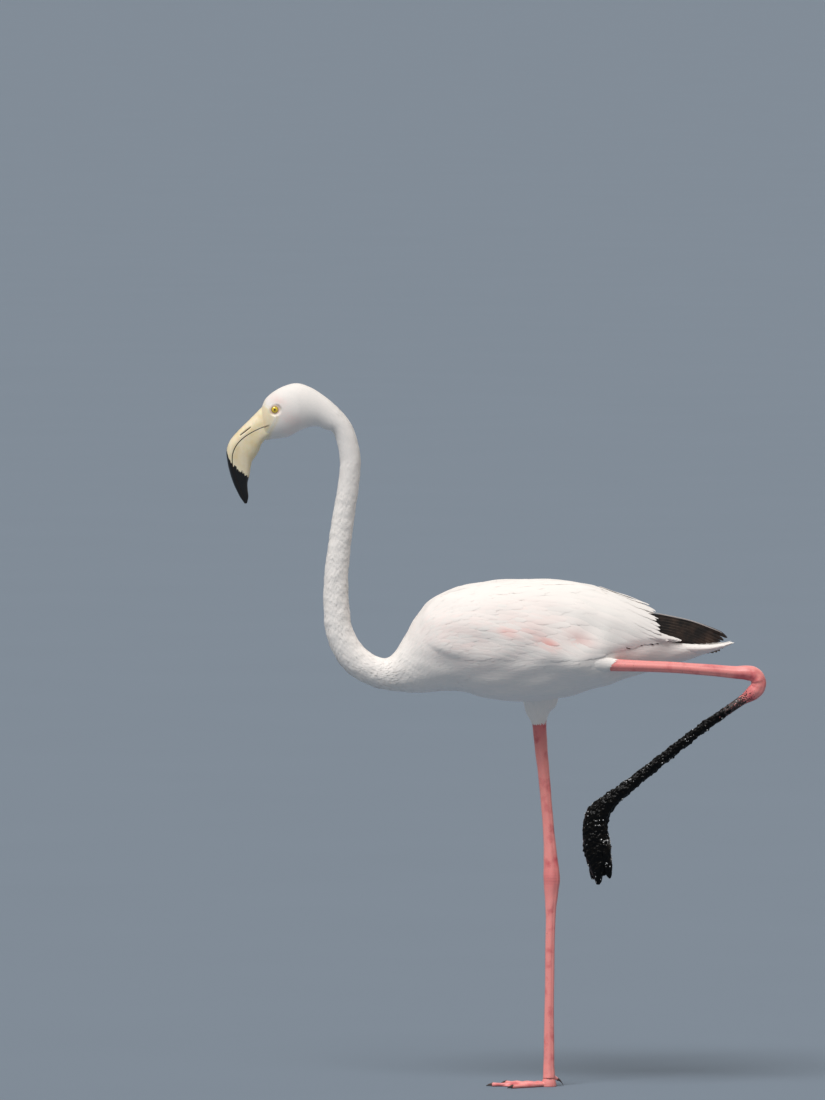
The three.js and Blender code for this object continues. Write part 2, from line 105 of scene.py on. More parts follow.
TRUNK_ROUNDNESS = 2.1
TRUNK_START = len(HEAD_SECTIONS) + NECK_SECTIONS
LAST_SECTION = TRUNK_START + len(TRUNK_SECTIONS) - 1

# Bill stations: ridge (x, z), line of the mouth (x, z), keel (x, z), half the width. The first is under the
# face.
BILL_STATIONS = np.array([
    (-400, 958, -388, 931, -396, 911.5, 16.4),
    (-405.3, 954.2, -393.5, 929.5, -401.8, 907.2, 14.2),
    (-415.8, 943.6, -403.2, 926, -406.5, 901.6, 13.2),
    (-427, 932.4, -417.2, 919.8, -409.5, 893.5, 13),
    (-440, 919.5, -431, 911.2, -414.5, 885, 12.6),
    (-451, 906, -441.3, 900.6, -419.6, 877.5, 12.2),
    (-455.6, 891.8, -446.6, 888.6, -421.8, 869, 11.2),
    (-454.4, 876.4, -447.2, 875, -423.3, 858.6, 9.6),
    (-450.8, 861, -444.5, 861, -426, 848.2, 7.8),
    (-445.2, 844.9, -439.4, 846.6, -426, 838.4, 5.8),
    (-437.6, 829, -433.4, 831, -424.9, 827.6, 3.6),
    (-430, 818, -428.6, 818.6, -427, 818.6, 0.9),
])

# Limb stations: centre (x, y, z), radius front to back, radius across.
STANDING_LEG = [
    (-16.8, 36, 566, 29, 24),
    (-16.8, 36, 541, 26, 21),
    (-19, 35, 526, 18, 15.5),
    (-17.5, 34, 508, 10, 9),
    (-14.7, 32, 473, 9, 8),
    (-11, 29.5, 438, 8.1, 7),
    (-7.5, 25.5, 396, 7.7, 6.6),
    (-4, 21.5, 354, 8, 7),
    (-1.2, 18, 316, 10, 8.6),
    (0, 16, 292, 11.6, 10),
    (-0.8, 14.5, 266, 9.2, 8.2),
    (-1.6, 12, 235, 6.9, 6.2),
    (-3, 5, 140, 6.5, 5.8),
    (-4, -2.5, 32, 7.6, 7.2),
    (-4, -3.5, 12, 8.6, 9.6),
]
HOCK_AROUND, HOCK_TURN_RADIUS = (274.4, 569.8), 14
RAISED_LEG = [
    (-12, -50, 607, 12, 10),
    (30, -57, 604, 19, 16),
    (60, -60.5, 599.5, 15, 13),
    (86, -61, 595.6, 8.6, 8),
    (151, -59, 593, 7.8, 6.8),
    (207, -57, 589.4, 7.9, 6.8),
    (256, -55.5, 585, 8.8, 7.8),
    *(
        (
            HOCK_AROUND[0] + HOCK_TURN_RADIUS * math.cos(math.radians(turn)),
            -55,
            HOCK_AROUND[1] + HOCK_TURN_RADIUS * math.sin(math.radians(turn)),
            10.5,
            9,
        )
        for turn in (87, 52, 16, -19, -54.5)
    ),
    (262, -54, 543.6, 8.8, 7.8),
    (207, -53, 505, 7.8, 7),
    (151, -52.5, 461, 8.6, 7.6),
    (104, -52, 423.5, 9.8, 8.6),
    (80, -52, 404, 12.6, 10.5),
    (63.5, -52, 384, 17.5, 12.5),
    (60.4, -52, 361, 18.6, 13.5),
    (63, -52, 338, 20, 14),
    (65, -52, 316, 16, 12.5),
    (66, -52, 300, 10, 8),
]
FEATHER_EDGE = 3  # the station of both legs where the feathers end
HANGING_TOES = [  # root, tip, radius of the mud at the root
    ((60, -45, 345), (57, -45, 294), 9),
    ((64, -53, 345), (64.5, -53, 287.5), 10),
    ((72, -60, 345), (80, -58, 297), 9),
]
FOOT = np.array([-4, -3.5])
TOES = [  # heading in degrees, length, joints, half width
    (33, 62, 2, 4.6),
    (1, 80, 3, 5),
    (-31, 70, 4, 4.6),
]
HIND_TOE = (196, 13, 15)  # heading, length, height
CLAW_LENGTH, CLAW_HALF = 8, 2.6

# Folded wing on the trunk: span in trunk sections, and edges as angles from the middle of the back.
WING_FROM, WING_TO = 1.1, 9.55
WING_LENGTH = 360  # millimetres from shoulder to the coverts' rear edge, by which rows are spaced

# Middle line (x, y, z) of each wing's folded primaries.
FLIGHT_LEFT = [
    (132, -27, 650),
    (165, -22, 643),
    (190, -17, 638.5),
    (214, -13, 633.5),
    (234, -10, 630.5),
    (245, -8, 629),
]
FLIGHT_RIGHT = [
    (132, 31, 645),
    (165, 29, 636),
    (190, 28, 627),
    (214, 27, 617.5),
    (231, 25, 613.5),
    (240, 24, 612),
]
TAIL = [  # limb stations, as for the legs
    (150, 0, 620, 12, 22),
    (190, 0, 616.5, 11, 24),
    (216, 0, 616, 8, 22),
    (238, 0, 619.5, 4.6, 17),
    (256, 0, 624, 1.4, 8),
]


def place(points):
    """Bird millimetres to the frame's metres."""
    return (np.asarray(points) - ORIGIN) * MM


# --- Curves and surfaces ---------------------------------------------------------------------------------


def spline(points, share):
    """Centripetal Catmull-Rom curve: between two points a cubic, whose slopes at both ends come from the
    points on either side, weighed by the square roots of the distances between them."""
    points = np.asarray(points, float)
    share = np.asarray(share, float)
    spans = len(points) - 1
    padded = np.vstack([2 * points[0] - points[1], points, 2 * points[-1] - points[-2]])
    position = np.clip(share, 0, 1) * spans
    index = np.minimum(position.astype(int), spans - 1)
    w = (position - index)[..., None]
    before, start, end, after = (padded[index + k] for k in range(4))

    def root_distance(a, b):
        return np.sqrt(np.linalg.norm(b - a, axis=-1, keepdims=True))

    d1 = root_distance(start, end)
    d1 = np.where(d1 < 1e-4, 1, d1)
    d0 = root_distance(before, start)
    d0 = np.where(d0 < 1e-4, d1, d0)
    d2 = root_distance(end, after)
    d2 = np.where(d2 < 1e-4, d1, d2)
    slope_1 = ((start - before) / d0 - (end - before) / (d0 + d1) + (end - start) / d1) * d1
    slope_2 = ((end - start) / d1 - (after - start) / (d1 + d2) + (after - end) / d2) * d1
    cubic = 2 * start - 2 * end + slope_1 + slope_2
    square = 3 * end - 3 * start - 2 * slope_1 - slope_2
    return start + w * (slope_1 + w * (square + w * cubic))


def smoothstep(value, low, high):
    t = np.clip((value - low) / (high - low), 0, 1)
    return t * t * (3 - 2 * t)


def mix(a, b, share):
    return a + (b - a) * share


def unit(vectors):
    return vectors / np.maximum(np.linalg.norm(vectors, axis=-1, keepdims=True), 1e-9)


def ripple(points, scale, seed):
    """Smooth noise in -1..1: the product of sums of eight sine waves in random directions, one wave per
    scale."""
    random = np.random.default_rng(seed)
    total = 0
    for _ in range(8):
        direction = random.normal(size=3)
        wave = direction / np.linalg.norm(direction) * random.uniform(0.7, 1.5) * 2 * math.pi / scale
        total = total + np.sin(points @ wave + random.uniform(0, 2 * math.pi))
    return total / 4


def neck_sections():
    """Sections square to the neck's line, evenly spaced by length, thicker towards the root."""
    samples = np.linspace(0, 1, 201)
    line = spline(NECK_LINE, samples)
    length = np.concatenate([[0], np.cumsum(np.linalg.norm(np.diff(line, axis=0), axis=1))])
    share = np.linspace(0, 1, NECK_SECTIONS)
    at = np.interp(share * length[-1], length, samples)
    centre = spline(NECK_LINE, at)
    along = unit(spline(NECK_LINE, at + 1e-4) - spline(NECK_LINE, at - 1e-4))
    radius = NECK_RADIUS + NECK_SWELL * share**2
    side = np.stack([-along[:, 1], along[:, 0]], 1) * radius[:, None]
    return np.column_stack([centre + side, centre - side, radius * NECK_FLATTENING])


SECTIONS = np.vstack([HEAD_SECTIONS, neck_sections(), TRUNK_SECTIONS])
SAMPLES = np.linspace(0, 1, 4001)
BACK, BELLY = spline(SECTIONS[:, 0:2], SAMPLES), spline(SECTIONS[:, 2:4], SAMPLES)
HALF = spline(SECTIONS[:, 4:5], SAMPLES)[:, 0]


def body_point(section, angle, lift=0.0):
    """A point of the body: an oval between the back line and the belly line at that section, at an angle
    from the back (over 0 to the left), moved out from the middle by lift."""
    section, angle, lift = np.broadcast_arrays(section, angle, lift)
    at = np.clip(section / LAST_SECTION, 0, 1)

    def look_up(table):
        return np.interp(at, SAMPLES, table)

    back = np.stack([look_up(BACK[:, 0]), look_up(BACK[:, 1])], -1)
    belly = np.stack([look_up(BELLY[:, 0]), look_up(BELLY[:, 1])], -1)
    power = 2 / mix(2, TRUNK_ROUNDNESS, smoothstep(section, TRUNK_START - 2, TRUNK_START + 2))
    rise = np.sign(np.cos(angle)) * np.abs(np.cos(angle)) ** power
    swing = np.sign(np.sin(angle)) * np.abs(np.sin(angle)) ** power
    centre, arm = (back + belly) / 2, (back - belly) / 2 * rise[..., None]
    out = np.stack([arm[..., 0], -look_up(HALF) * swing, arm[..., 1]], -1)
    reach = np.linalg.norm(out, axis=-1)
    out = out * ((reach + lift) / np.maximum(reach, 1e-6))[..., None]
    return out + np.stack([centre[..., 0], np.zeros(section.shape), centre[..., 1]], -1)


def limb_surface(stations, first, last):
    """A function of (share, angle, lift) for a limb: an oval square to a smooth path through the
    stations."""
    table = np.asarray(stations, float)
    shares = np.linspace(0, 1, 1201)
    path, sizes = spline(table[:, :3], shares), spline(table[:, 3:], shares)
    along = unit(np.gradient(path, axis=0))
    side = unit(np.array([0, 1, 0]) - along * along[:, 1:2])
    front = np.cross(along, side)
    columns = np.hstack([path, sizes, front, side])

    def point(share, angle, lift=0.0):
        share, angle, lift = np.broadcast_arrays(share, angle, lift)
        at = mix(first, last, share) / (len(table) - 1)
        row = np.stack([np.interp(at, shares, column) for column in columns.T], -1)
        forward = ((row[..., 3] + lift) * np.cos(angle))[..., None] * row[..., 5:8]
        return row[..., :3] + forward + ((row[..., 4] + lift) * np.sin(angle))[..., None] * row[..., 8:11]

    return point


def sheet_surface(stations, level, flip=1):
    """A function of (share, across, lift) for a flat fan: across is in millimetres, either level (sideways)
    or upright, and lift is square to the sheet."""
    table = np.asarray(stations, float)
    shares = np.linspace(0, 1, 301)
    path = spline(table[:, :3], shares)
    along = unit(np.gradient(path, axis=0))
    side = unit(np.array([0, 1, 0]) - along * along[:, 1:2])
    upright = np.cross(along, side)
    across, normal = (side, upright) if level else (upright, side * flip)
    columns = np.hstack([path, across, normal])

    def point(share, across, lift=0.0):
        share, across, lift = np.broadcast_arrays(share, across, lift)
        row = np.stack([np.interp(share, shares, column) for column in columns.T], -1)
        beyond = np.where(share > 1, share - 1, np.minimum(share, 0))
        straight = beyond[..., None] * (path[-1] - path[0])
        return row[..., :3] + straight + across[..., None] * row[..., 3:6] + lift[..., None] * row[..., 6:9]

    return point


# --- Meshes ----------------------------------------------------------------------------------------------


def tube_faces(rings, sides):
    """Quads between rings of points, and two fans that close the ends on the last two points."""
    ring = np.arange(sides)
    start = np.arange(rings - 1)[:, None] * sides
    after = (ring + 1) % sides
    quads = np.stack([start + ring, start + after, start + sides + after, start + sides + ring], -1)
    first, last = rings * sides, rings * sides + 1
    end = (rings - 1) * sides
    caps = np.concatenate([
        np.stack([np.full(sides, first), after, ring], -1),
        np.stack([np.full(sides, last), end + ring, end + after], -1),
    ])
    return quads.reshape(-1, 4), caps


def outward(points, faces):
    """The faces, turned round if the volume that they enclose is negative."""
    volume = 0
    for group in faces:
        corners = points[group]
        for k in range(1, group.shape[1] - 1):
            volume += np.einsum("ij,ij->", corners[:, 0], np.cross(corners[:, k], corners[:, k + 1]))
    return [group[:, ::-1] for group in faces] if volume < 0 else list(faces)


def corner_normals(points, faces, flat, facing, relief):
    """Normals of the faces' corners: on flat faces the face's own, on others a mix of the way that the body
    under the feather faces with a share of the face's own, since light soaks into plumage and evens out
    small slopes."""
    found, start = [], 0
    for group in faces:
        corners = points[group]
        square = unit(np.cross(corners[:, 2] - corners[:, 0], corners[:, -1] - corners[:, 1]))[:, None]
        soft = unit(mix(facing[group], square, relief))
        found.append(np.where(flat[start:start + len(group), None, None], square, soft).reshape(-1, 3))
        start += len(group)
    return np.concatenate(found)


def make_piece(name, points, faces, materials, slot, uv=None, flat=None, facing=None, relief=1.0,
               face_material=None, **values):
    """A mesh object of points in bird millimetres and arrays of faces, with named values on its points."""
    points = np.asarray(points, float).reshape(-1, 3)
    faces = outward(points, faces)
    corners = np.concatenate([group.ravel() for group in faces]).astype(np.int32)
    sizes = np.concatenate([np.full(len(group), group.shape[1]) for group in faces])
    starts = np.concatenate([[0], np.cumsum(sizes)[:-1]]).astype(np.int32)
    mesh = bpy.data.meshes.new(name)
    mesh.vertices.add(len(points))
    mesh.vertices.foreach_set("co", place(points).astype(np.float32).ravel())
    mesh.loops.add(len(corners))
    mesh.loops.foreach_set("vertex_index", corners)
    mesh.polygons.add(len(sizes))
    mesh.polygons.foreach_set("loop_start", starts)
    mesh.update(calc_edges=True)
    if uv is not None:
        layer = mesh.uv_layers.new(name="OFBake")
        layer.uv.foreach_set("vector", uv.reshape(-1, 2)[corners].astype(np.float32).ravel())
    if flat is not None:
        sharp = mesh.attributes.new("sharp_face", "BOOLEAN", "FACE")
        sharp.data.foreach_set("value", flat)
    if facing is not None:
        mesh.normals_split_custom_set(corner_normals(points, faces, flat, facing.reshape(-1, 3), relief))
    if face_material is not None:
        mesh.polygons.foreach_set("material_index", face_material.astype(np.int32))
    for key, value in values.items():
        give_value(mesh, key, value)
    for material in materials:
        mesh.materials.append(material)
    return add_piece(name, mesh)


def give_value(mesh, key, value):
    """Puts one number, or three, on each point of a mesh."""
    value = np.asarray(value, np.float32)
    if value.size == len(mesh.vertices) * 3:
        mesh.attributes.new(key, "FLOAT_VECTOR", "POINT").data.foreach_set("vector", value.ravel())
    else:
        mesh.attributes.new(key, "FLOAT", "POINT").data.foreach_set("value", value.ravel())


def add_piece(name, mesh):
    piece = bpy.data.objects.new(name, mesh)
    bpy.context.scene.collection.objects.link(piece)
    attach(piece, "root")
    return piece


def finished_mesh(mesh, *modifiers):
    """The mesh after a stack of modifiers, given as (type, settings)."""
    carrier = bpy.data.objects.new("carrier", mesh)
    bpy.context.scene.collection.objects.link(carrier)
    for kind, settings in modifiers:
        modifier = carrier.modifiers.new(kind, kind)
        for key, value in settings.items():
            setattr(modifier, key, value)
    depsgraph = bpy.context.evaluated_depsgraph_get()
    result = bpy.data.meshes.new_from_object(carrier.evaluated_get(depsgraph))
    bpy.data.objects.remove(carrier)
    return result


def plain_mesh(name, points, faces):
    """A bare mesh in bird millimetres, for joining and remeshing."""
    faces = outward(points, faces)
    mesh = bpy.data.meshes.new(name)
    mesh.from_pydata(points.tolist(), [], [face for group in faces for face in group.tolist()])
    return mesh


def points_of(mesh):
    points = np.empty(len(mesh.vertices) * 3, np.float32)
    mesh.vertices.foreach_get("co", points)
    return points.reshape(-1, 3).astype(float)


def closed_tube(surface, shares, sides, lift=0.0, angles=None):
    """Points and faces of a closed tube on a surface, with a pole in the middle of each end ring."""
    angles = np.linspace(0, 2 * math.pi, sides, endpoint=False) if angles is None else angles
    grid = surface(shares[:, None], angles[None, :], lift)
    points = np.vstack([grid.reshape(-1, 3), grid[0].mean(0), grid[-1].mean(0)])
    return points, tube_faces(len(shares), len(angles))


# --- Feathers --------------------------------------------------------------------------------------------


def vane_outline(v, bluntness):
    """Share of its full width that a feather has at a share along it: it opens as a quarter circle over its
    first third, and closes as the root of 1 - v**bluntness at the tip."""
    opening = np.sqrt(np.clip(1 - (1 - np.minimum(v / 0.34, 1)) ** 2, 0, 1))
    return opening * np.sqrt(np.clip(1 - v**bluntness, 0, 1))


def lay_vanes(surface, root, tip, half, lift, stations=4, columns=3, bluntness=4.0, thick=0.03, camber=0.06,
              tilt=0.0, fray=0.0, bow=0.0, curl=1.0, dip=0.3, seed=1):
    """Closed vanes on a surface. Each follows the straight line from its root to its tip in the surface's
    own two parameters, bowed sideways, and widens to both sides of it by its outline. It rises from its
    first lift to its second as v**curl less dip * v**5, so that its tip settles on the next row. Its middle
    is thick, its edges drop by camber and its left edge rises by tilt, all as shares of half its width."""
    random = np.random.default_rng(seed)
    (s0, a0), (s1, a1) = root, tip
    count = len(s0)

    def each(value):
        return np.broadcast_to(np.asarray(value, float), (count,))[:, None]

    step = np.arange(1, stations) / stations
    v = (1 - (1 - step) ** 1.25)[None, :]
    low, high = each(lift[0]), each(lift[1])

    def centre(share):
        swing = each(bow) * np.sin(math.pi * share)
        run, turn = each(s1 - s0), each(a1 - a0)
        return each(s0) + run * share, each(a0) + turn * share + swing * turn

    s, a = centre(v)
    small = 1e-3
    middle = surface(s, a)
    by_s = (surface(s + small, a) - middle) / small
    by_a = (surface(s, a + small) - middle) / small
    ahead = surface(*centre(v + 0.02)) - middle
    side = unit(np.cross(np.cross(by_s, by_a), ahead))
    width = each(half) * vane_outline(v, each(bluntness))

    def share_of(direction):
        return np.einsum("...k,...k->...", side, direction) / np.maximum((direction**2).sum(-1), 1e-9)

    u = np.append(np.linspace(-1, 1, columns), 0.0)  # the last one is the underside's middle
    top = np.append(np.ones(columns), -1.0) * (1 - u**2) * thick
    notch = fray * random.random((count, stations - 1, columns + 1)) ** 2 * (np.abs(u) > 0.99)
    across = width[..., None] * u * (1 - notch)
    rise = low + (high - low) * (v**curl - dip * v**5)
    rise = rise[..., None] + each(half)[..., None] * (top - camber * u**2 + tilt * u)
    ring_s = s[..., None] + share_of(by_s)[..., None] * across
    ring_a = a[..., None] + share_of(by_a)[..., None] * across
    rings = surface(ring_s, ring_a, rise)
    base = surface(ring_s, ring_a)
    square = unit(np.cross(surface(ring_s + small, ring_a) - base, surface(ring_s, ring_a + small) - base))
    away = surface(ring_s, ring_a, 1.0) - base
    square = square * np.sign(np.einsum("...k,...k->...", square, away))[..., None]
    facing = np.concatenate([square.reshape(count, -1, 3), square[:, 0, columns // 2, None],
                             square[:, -1, columns // 2, None]], 1)
    pole_s, pole_a = centre(np.array([[0.0, 1.0]]))
    poles = surface(pole_s, pole_a, np.concatenate([low, mix(high, low, dip)], 1))
    points = np.concatenate([rings.reshape(count, -1, 3), poles], 1)
    length = np.linalg.norm(poles[:, 1] - poles[:, 0], axis=1)
    lay = np.zeros(points.shape)  # millimetres across, millimetres along, and one random number for each vane
    lay[:, :-2, 0] = across.reshape(count, -1)
    lay[:, :-2, 1] = np.repeat(np.broadcast_to(v, (count, stations - 1)), columns + 1, 1) * length[:, None]
    lay[:, -1, 1] = length
    lay[:, :, 2] = random.random(count)[:, None]
    quads, caps = tube_faces(stations - 1, columns + 1)
    below = np.arange((stations - 1) * (columns + 1) + 2) % (columns + 1) == columns
    below[-2:] = False
    quads_below, caps_below = below[quads].any(1), below[caps].any(1)
    offset = np.arange(count)[:, None, None] * points.shape[1]
    faces = [(quads[None] + offset).reshape(-1, 4), (caps[None] + offset).reshape(-1, 3)]
    flat = np.concatenate([np.tile(quads_below, count), np.tile(caps_below, count)])
    return {"points": points, "faces": faces, "flat": flat, "facing": facing, "lay": lay, "length": length}


PATCH = 0.003  # side of one feather's patch on the bake map


def make_coat(name, vanes, roots, material, slot, relief, **values):
    """One mesh of many vanes. On its bake map each vane is a small patch at its root's place, (along,
    around) from 0 to 1, so that neighbours on the skin are neighbours on the map."""
    lay = vanes["lay"]
    half = np.abs(lay[:, :, 0]).max(1, keepdims=True)
    across = lay[:, :, 0] / np.maximum(half, 1e-6) * 0.5
    share = lay[:, :, 1] / np.maximum(vanes["length"], 1e-6)[:, None]
    along, around = (mix(0.01, 0.985, np.clip(part, 0, 1))[:, None] for part in roots)
    uv = np.stack([along + share * PATCH, around + (across + 0.5) * PATCH], -1)
    edge = 2 * np.abs(across)
    return make_piece(name, vanes["points"], vanes["faces"], [material], slot, uv=uv, flat=vanes["flat"],
                      facing=vanes["facing"], relief=relief, lay=lay, share=share, edge=edge, **values)


def rows_on(surface, first, last, spacing, across_spacing, seed):
    """Roots in staggered rows round a surface: rows are one spacing apart along it, points are one across
    spacing apart round it, and each point moves at random by up to a quarter of both."""
    random = np.random.default_rng(seed)
    found_s, found_a = [], []
    fine = np.linspace(-math.pi, math.pi, 181)
    sides = np.array([0.5, 2.6])
    s, row = first, 0
    while s < last:
        ring = surface(np.full(fine.shape, s), fine)
        run = np.concatenate([[0], np.cumsum(np.linalg.norm(np.diff(ring, axis=0), axis=1))])
        number = max(4, int(run[-1] / across_spacing(s)))
        places = (np.arange(number) + 0.5 * (row % 2) + random.uniform(-0.25, 0.25, number)) / number
        pace = np.linalg.norm(surface(s + 1e-3, sides) - surface(s, sides), axis=1).mean() * 1e3
        step = spacing(s) / pace
        found_s.append(s + random.uniform(-0.25, 0.25, number) * step)
        found_a.append(np.interp(places % 1 * run[-1], run, fine))
        s, row = s + step, row + 1
    return np.concatenate(found_s), np.concatenate(found_a)


def tips_of(surface, s, a, length, slant):
    """Where vanes of a length end that leave their roots at a slant from the way along the surface."""
    small = 1e-3
    here = surface(s, a)
    pace_s = np.linalg.norm(surface(s + small, a) - here, axis=-1) / small
    pace_a = np.linalg.norm(surface(s, a + small) - here, axis=-1) / small
    return s + length * np.cos(slant) / pace_s, a + length * np.sin(slant) / np.maximum(pace_a, 1e-6)


# --- Settings --------------------------------------------------------------------------------------------


def linear(hex_colour):
    """An sRGB hex colour as linear red, green, blue and alpha."""
    channels = [int(hex_colour[k:k + 2], 16) / 255 for k in (0, 2, 4)]
    return (*(c / 12.92 if c <= 0.04045 else ((c + 0.055) / 1.055) ** 2.4 for c in channels), 1)


def tone(name, description, hex_colour):
    """A colour setting."""
    return FloatVectorProperty(name=name, description=description, default=linear(hex_colour), size=4, min=0,
                               max=1, subtype="COLOR")


def size(name, description, millimetres):
    """A length setting, kept in metres."""
    return FloatProperty(name=name, description=description, default=millimetres * MM, min=0.0005, max=0.5,
                         subtype="DISTANCE", unit="LENGTH")


class FlamingoSizes(bpy.types.PropertyGroup):
    """Lengths of the feathers and depth of the mud's lumps."""

    crown_feather: size("Crown feather", "Length of a feather at the back of the head", 6.5)
    neck_feather: size("Neck feather", "Length of a feather at the root of the neck", 15)
    body_feather: size("Body feather", "Length of a feather on the breast, back and belly", 30)
    covert: size("Greater covert", "Length of the longest feather in the rows on the wing", 66)
    tertial: size("Tertial", "Length of the long feathers that cover the folded wing's tip", 105)
    thigh_feather: size("Thigh feather", "Length of a feather on the thighs", 30)
    mud_lump: size("Mud lump", "Height of the lumps of mud on the raised leg", 1.2)


class FlamingoColours(bpy.types.PropertyGroup):
    """Colours of the feathers, bare parts, mud and floor."""

    plumage: tone("Plumage", "White of the contour feathers", "FBF7F2")
    blush: tone("Blush", "Pink of the coverts", "F2A89F")
    quill: tone("Quill", "Black of the flight feathers", "17120F")
    # Painted sheen: this brown stands for the light's sheen on the black quills.
    quill_sheen_brown: tone("Worn quill", "Brown of the flight feathers where they are worn", "4A382C")
    leg: tone("Leg", "Pink of the bare leg", "F69A95")
    # Deeper pink of the hocks, partly their own and partly painted shade, and painted shade at the standing
    # leg's top.
    leg_deep_and_shade: tone("Leg in the creases", "Deeper pink of the joints and creases", "CC505C")
    bill: tone("Bill", "Cream of the bill and the bare face", "F4E6C6")
    bill_deep: tone("Bill at the base", "Deeper cream towards the base of the bill", "ECD6A4")
    bill_tip: tone("Bill tip", "Black of the bill's tip", "0C0A0A")
    eyelid: tone("Eyelid", "Bare skin round the eye", "E2B9AD")
    iris: tone("Iris", "Yellow of the iris", "FFE34A")
    mud: tone("Mud", "Wet mud on the raised leg and foot", "040404")
    claw: tone("Claw", "Horn of the claws", "1B1513")
    floor: tone("Floor", "Plain floor", "76828F")
    sky: tone("Sky", "Soft light from all sides", "F7F0E8")


# --- Materials -------------------------------------------------------------------------------------------


def node(tree, kind, links=None, **settings):
    """Adds a node. A setting in_NAME sets the input of that name or number, others set the node itself, and
    links give each input its (node, output). A colour Mix has its colours on inputs 6 and 7, and its result
    on output 2."""
    made = tree.nodes.new(kind)
    for key, value in settings.items():
        if key.startswith("in_"):
            name = key[3:].replace("_", " ")
            made.inputs[int(name) if name.isdigit() else name].default_value = value
        else:
            setattr(made, key, value)
    for name, (source, output) in (links or {}).items():
        tree.links.new(source.outputs[output], made.inputs[name])
    return made


def new_material(name, **shader):
    """A material with one Principled shader, whose settings are set on its own sockets."""
    material = bpy.data.materials.new(name)
    material.use_nodes = True
    principled = material.node_tree.nodes["Principled BSDF"]
    for key, value in shader.items():
        principled.inputs[key.replace("_", " ")].default_value = value
    return material, material.node_tree, principled


def finish_shader(tree, shader, colour, height, strength, distance):
    """Joins a colour and a bump from a height to the shader. Colour and height are (node, output)."""
    bump = node(tree, "ShaderNodeBump", {"Height": height}, in_Strength=strength, in_Distance=distance)
    tree.links.new(colour[0].outputs[colour[1]], shader.inputs["Base Color"])
    tree.links.new(bump.outputs["Normal"], shader.inputs["Normal"])


def barb_lines(tree, split):
    """Waves that leave the shaft at 45 degrees, 0.9 mm apart: a few times coarser than real barbs, to
    show."""
    lean = node(tree, "ShaderNodeMath", {0: (split, "X")}, operation="ABSOLUTE")
    climb = node(tree, "ShaderNodeMath", {0: (split, "Y"), 1: (lean, "Value")}, operation="SUBTRACT")
    phase = node(tree, "ShaderNodeMath", {0: (climb, "Value")}, operation="MULTIPLY", in_1=2 * math.pi / 0.9)
    return node(tree, "ShaderNodeMath", {0: (phase, "Value")}, operation="SINE"), "Value"


def plumage_material(colours):
    """Contour feathers: soft matt keratin barbs, near white, pink where the blush value says so, and cream
    where they thin out towards the bare face."""
    material, tree, shader = new_material("soft_white_contour_feathers", Roughness=0.8, Sheen_Weight=0.3,
                                          Sheen_Roughness=0.4, Specular_IOR_Level=0.2)
    lay = node(tree, "ShaderNodeAttribute", attribute_name="lay")
    split = node(tree, "ShaderNodeSeparateXYZ", {"Vector": (lay, "Vector")})
    blush = node(tree, "ShaderNodeAttribute", attribute_name="blush")
    cream = node(tree, "ShaderNodeAttribute", attribute_name="cream")
    own = node(tree, "ShaderNodeMapRange", {"Value": (split, "Z")}, in_To_Min=0.35, in_To_Max=1.5)
    strong = node(tree, "ShaderNodeMath", {0: (blush, "Fac"), 1: (own, "Result")}, operation="MULTIPLY",
                  use_clamp=True)
    pink = node(tree, "ShaderNodeMix", {"Factor": (strong, "Value")}, data_type="RGBA", in_6=colours.plumage,
                in_7=colours.blush)
    warm = node(tree, "ShaderNodeMix", {"Factor": (cream, "Fac"), 6: (pink, 2)}, data_type="RGBA",
                in_7=colours.bill)
    pale = node(tree, "ShaderNodeMapRange", {"Value": (split, "Z")}, in_To_Min=0.94, in_To_Max=1.0)
    shade = node(tree, "ShaderNodeVectorMath", {0: (warm, 2), "Scale": (pale, "Result")}, operation="SCALE")
    finish_shader(tree, shader, (shade, "Vector"), barb_lines(tree, split), 0.1, 0.0002)
    return material


def quill_material(colours):
    """Flight feathers: stiff brownish-black barbs with a satin gloss, with browner clouds of painted sheen.
    The vanes' edges are lighter with a painted glint, and a painted highlight runs along the outer edge of
    the longest one, as the pale value says."""
    material, tree, shader = new_material("satin_black_quills", Roughness=0.52, Specular_IOR_Level=0.4)
    lay = node(tree, "ShaderNodeAttribute", attribute_name="lay")
    split = node(tree, "ShaderNodeSeparateXYZ", {"Vector": (lay, "Vector")})
    coords = node(tree, "ShaderNodeTexCoord")
    # Painted sheen: browner clouds that stand for the light's sheen on the quills.
    cloud = node(tree, "ShaderNodeTexNoise", {"Vector": (coords, "Object")}, in_Scale=45.0, in_Detail=4.0)
    worn = node(tree, "ShaderNodeMapRange", {"Value": (cloud, "Fac")}, in_From_Min=0.42, in_From_Max=0.68)
    black = node(tree, "ShaderNodeMix", {"Factor": (worn, "Result")}, data_type="RGBA", in_6=colours.quill,
                 in_7=colours.quill_sheen_brown)
    # Painted highlight: each vane's edges are lighter, as a glint of the light on them.
    edge = node(tree, "ShaderNodeAttribute", attribute_name="edge")
    rim = node(tree, "ShaderNodeMapRange", {"Value": (edge, "Fac")}, in_From_Min=0.8, in_To_Max=0.35)
    edge_glint = node(tree, "ShaderNodeMix", {"Factor": (rim, "Result"), 6: (black, 2)}, data_type="RGBA",
                   in_7=linear("8A7767"))
    # Painted highlight: the pale value marks the narrow strip along the longest quill's top edge.
    pale = node(tree, "ShaderNodeAttribute", attribute_name="pale")
    colour = node(tree, "ShaderNodeMix", {"Factor": (pale, "Fac"), 6: (edge_glint, 2)}, data_type="RGBA",
                  in_7=linear("DAD3CE"))
    finish_shader(tree, shader, (colour, 2), barb_lines(tree, split), 0.3, 0.0002)
    return material


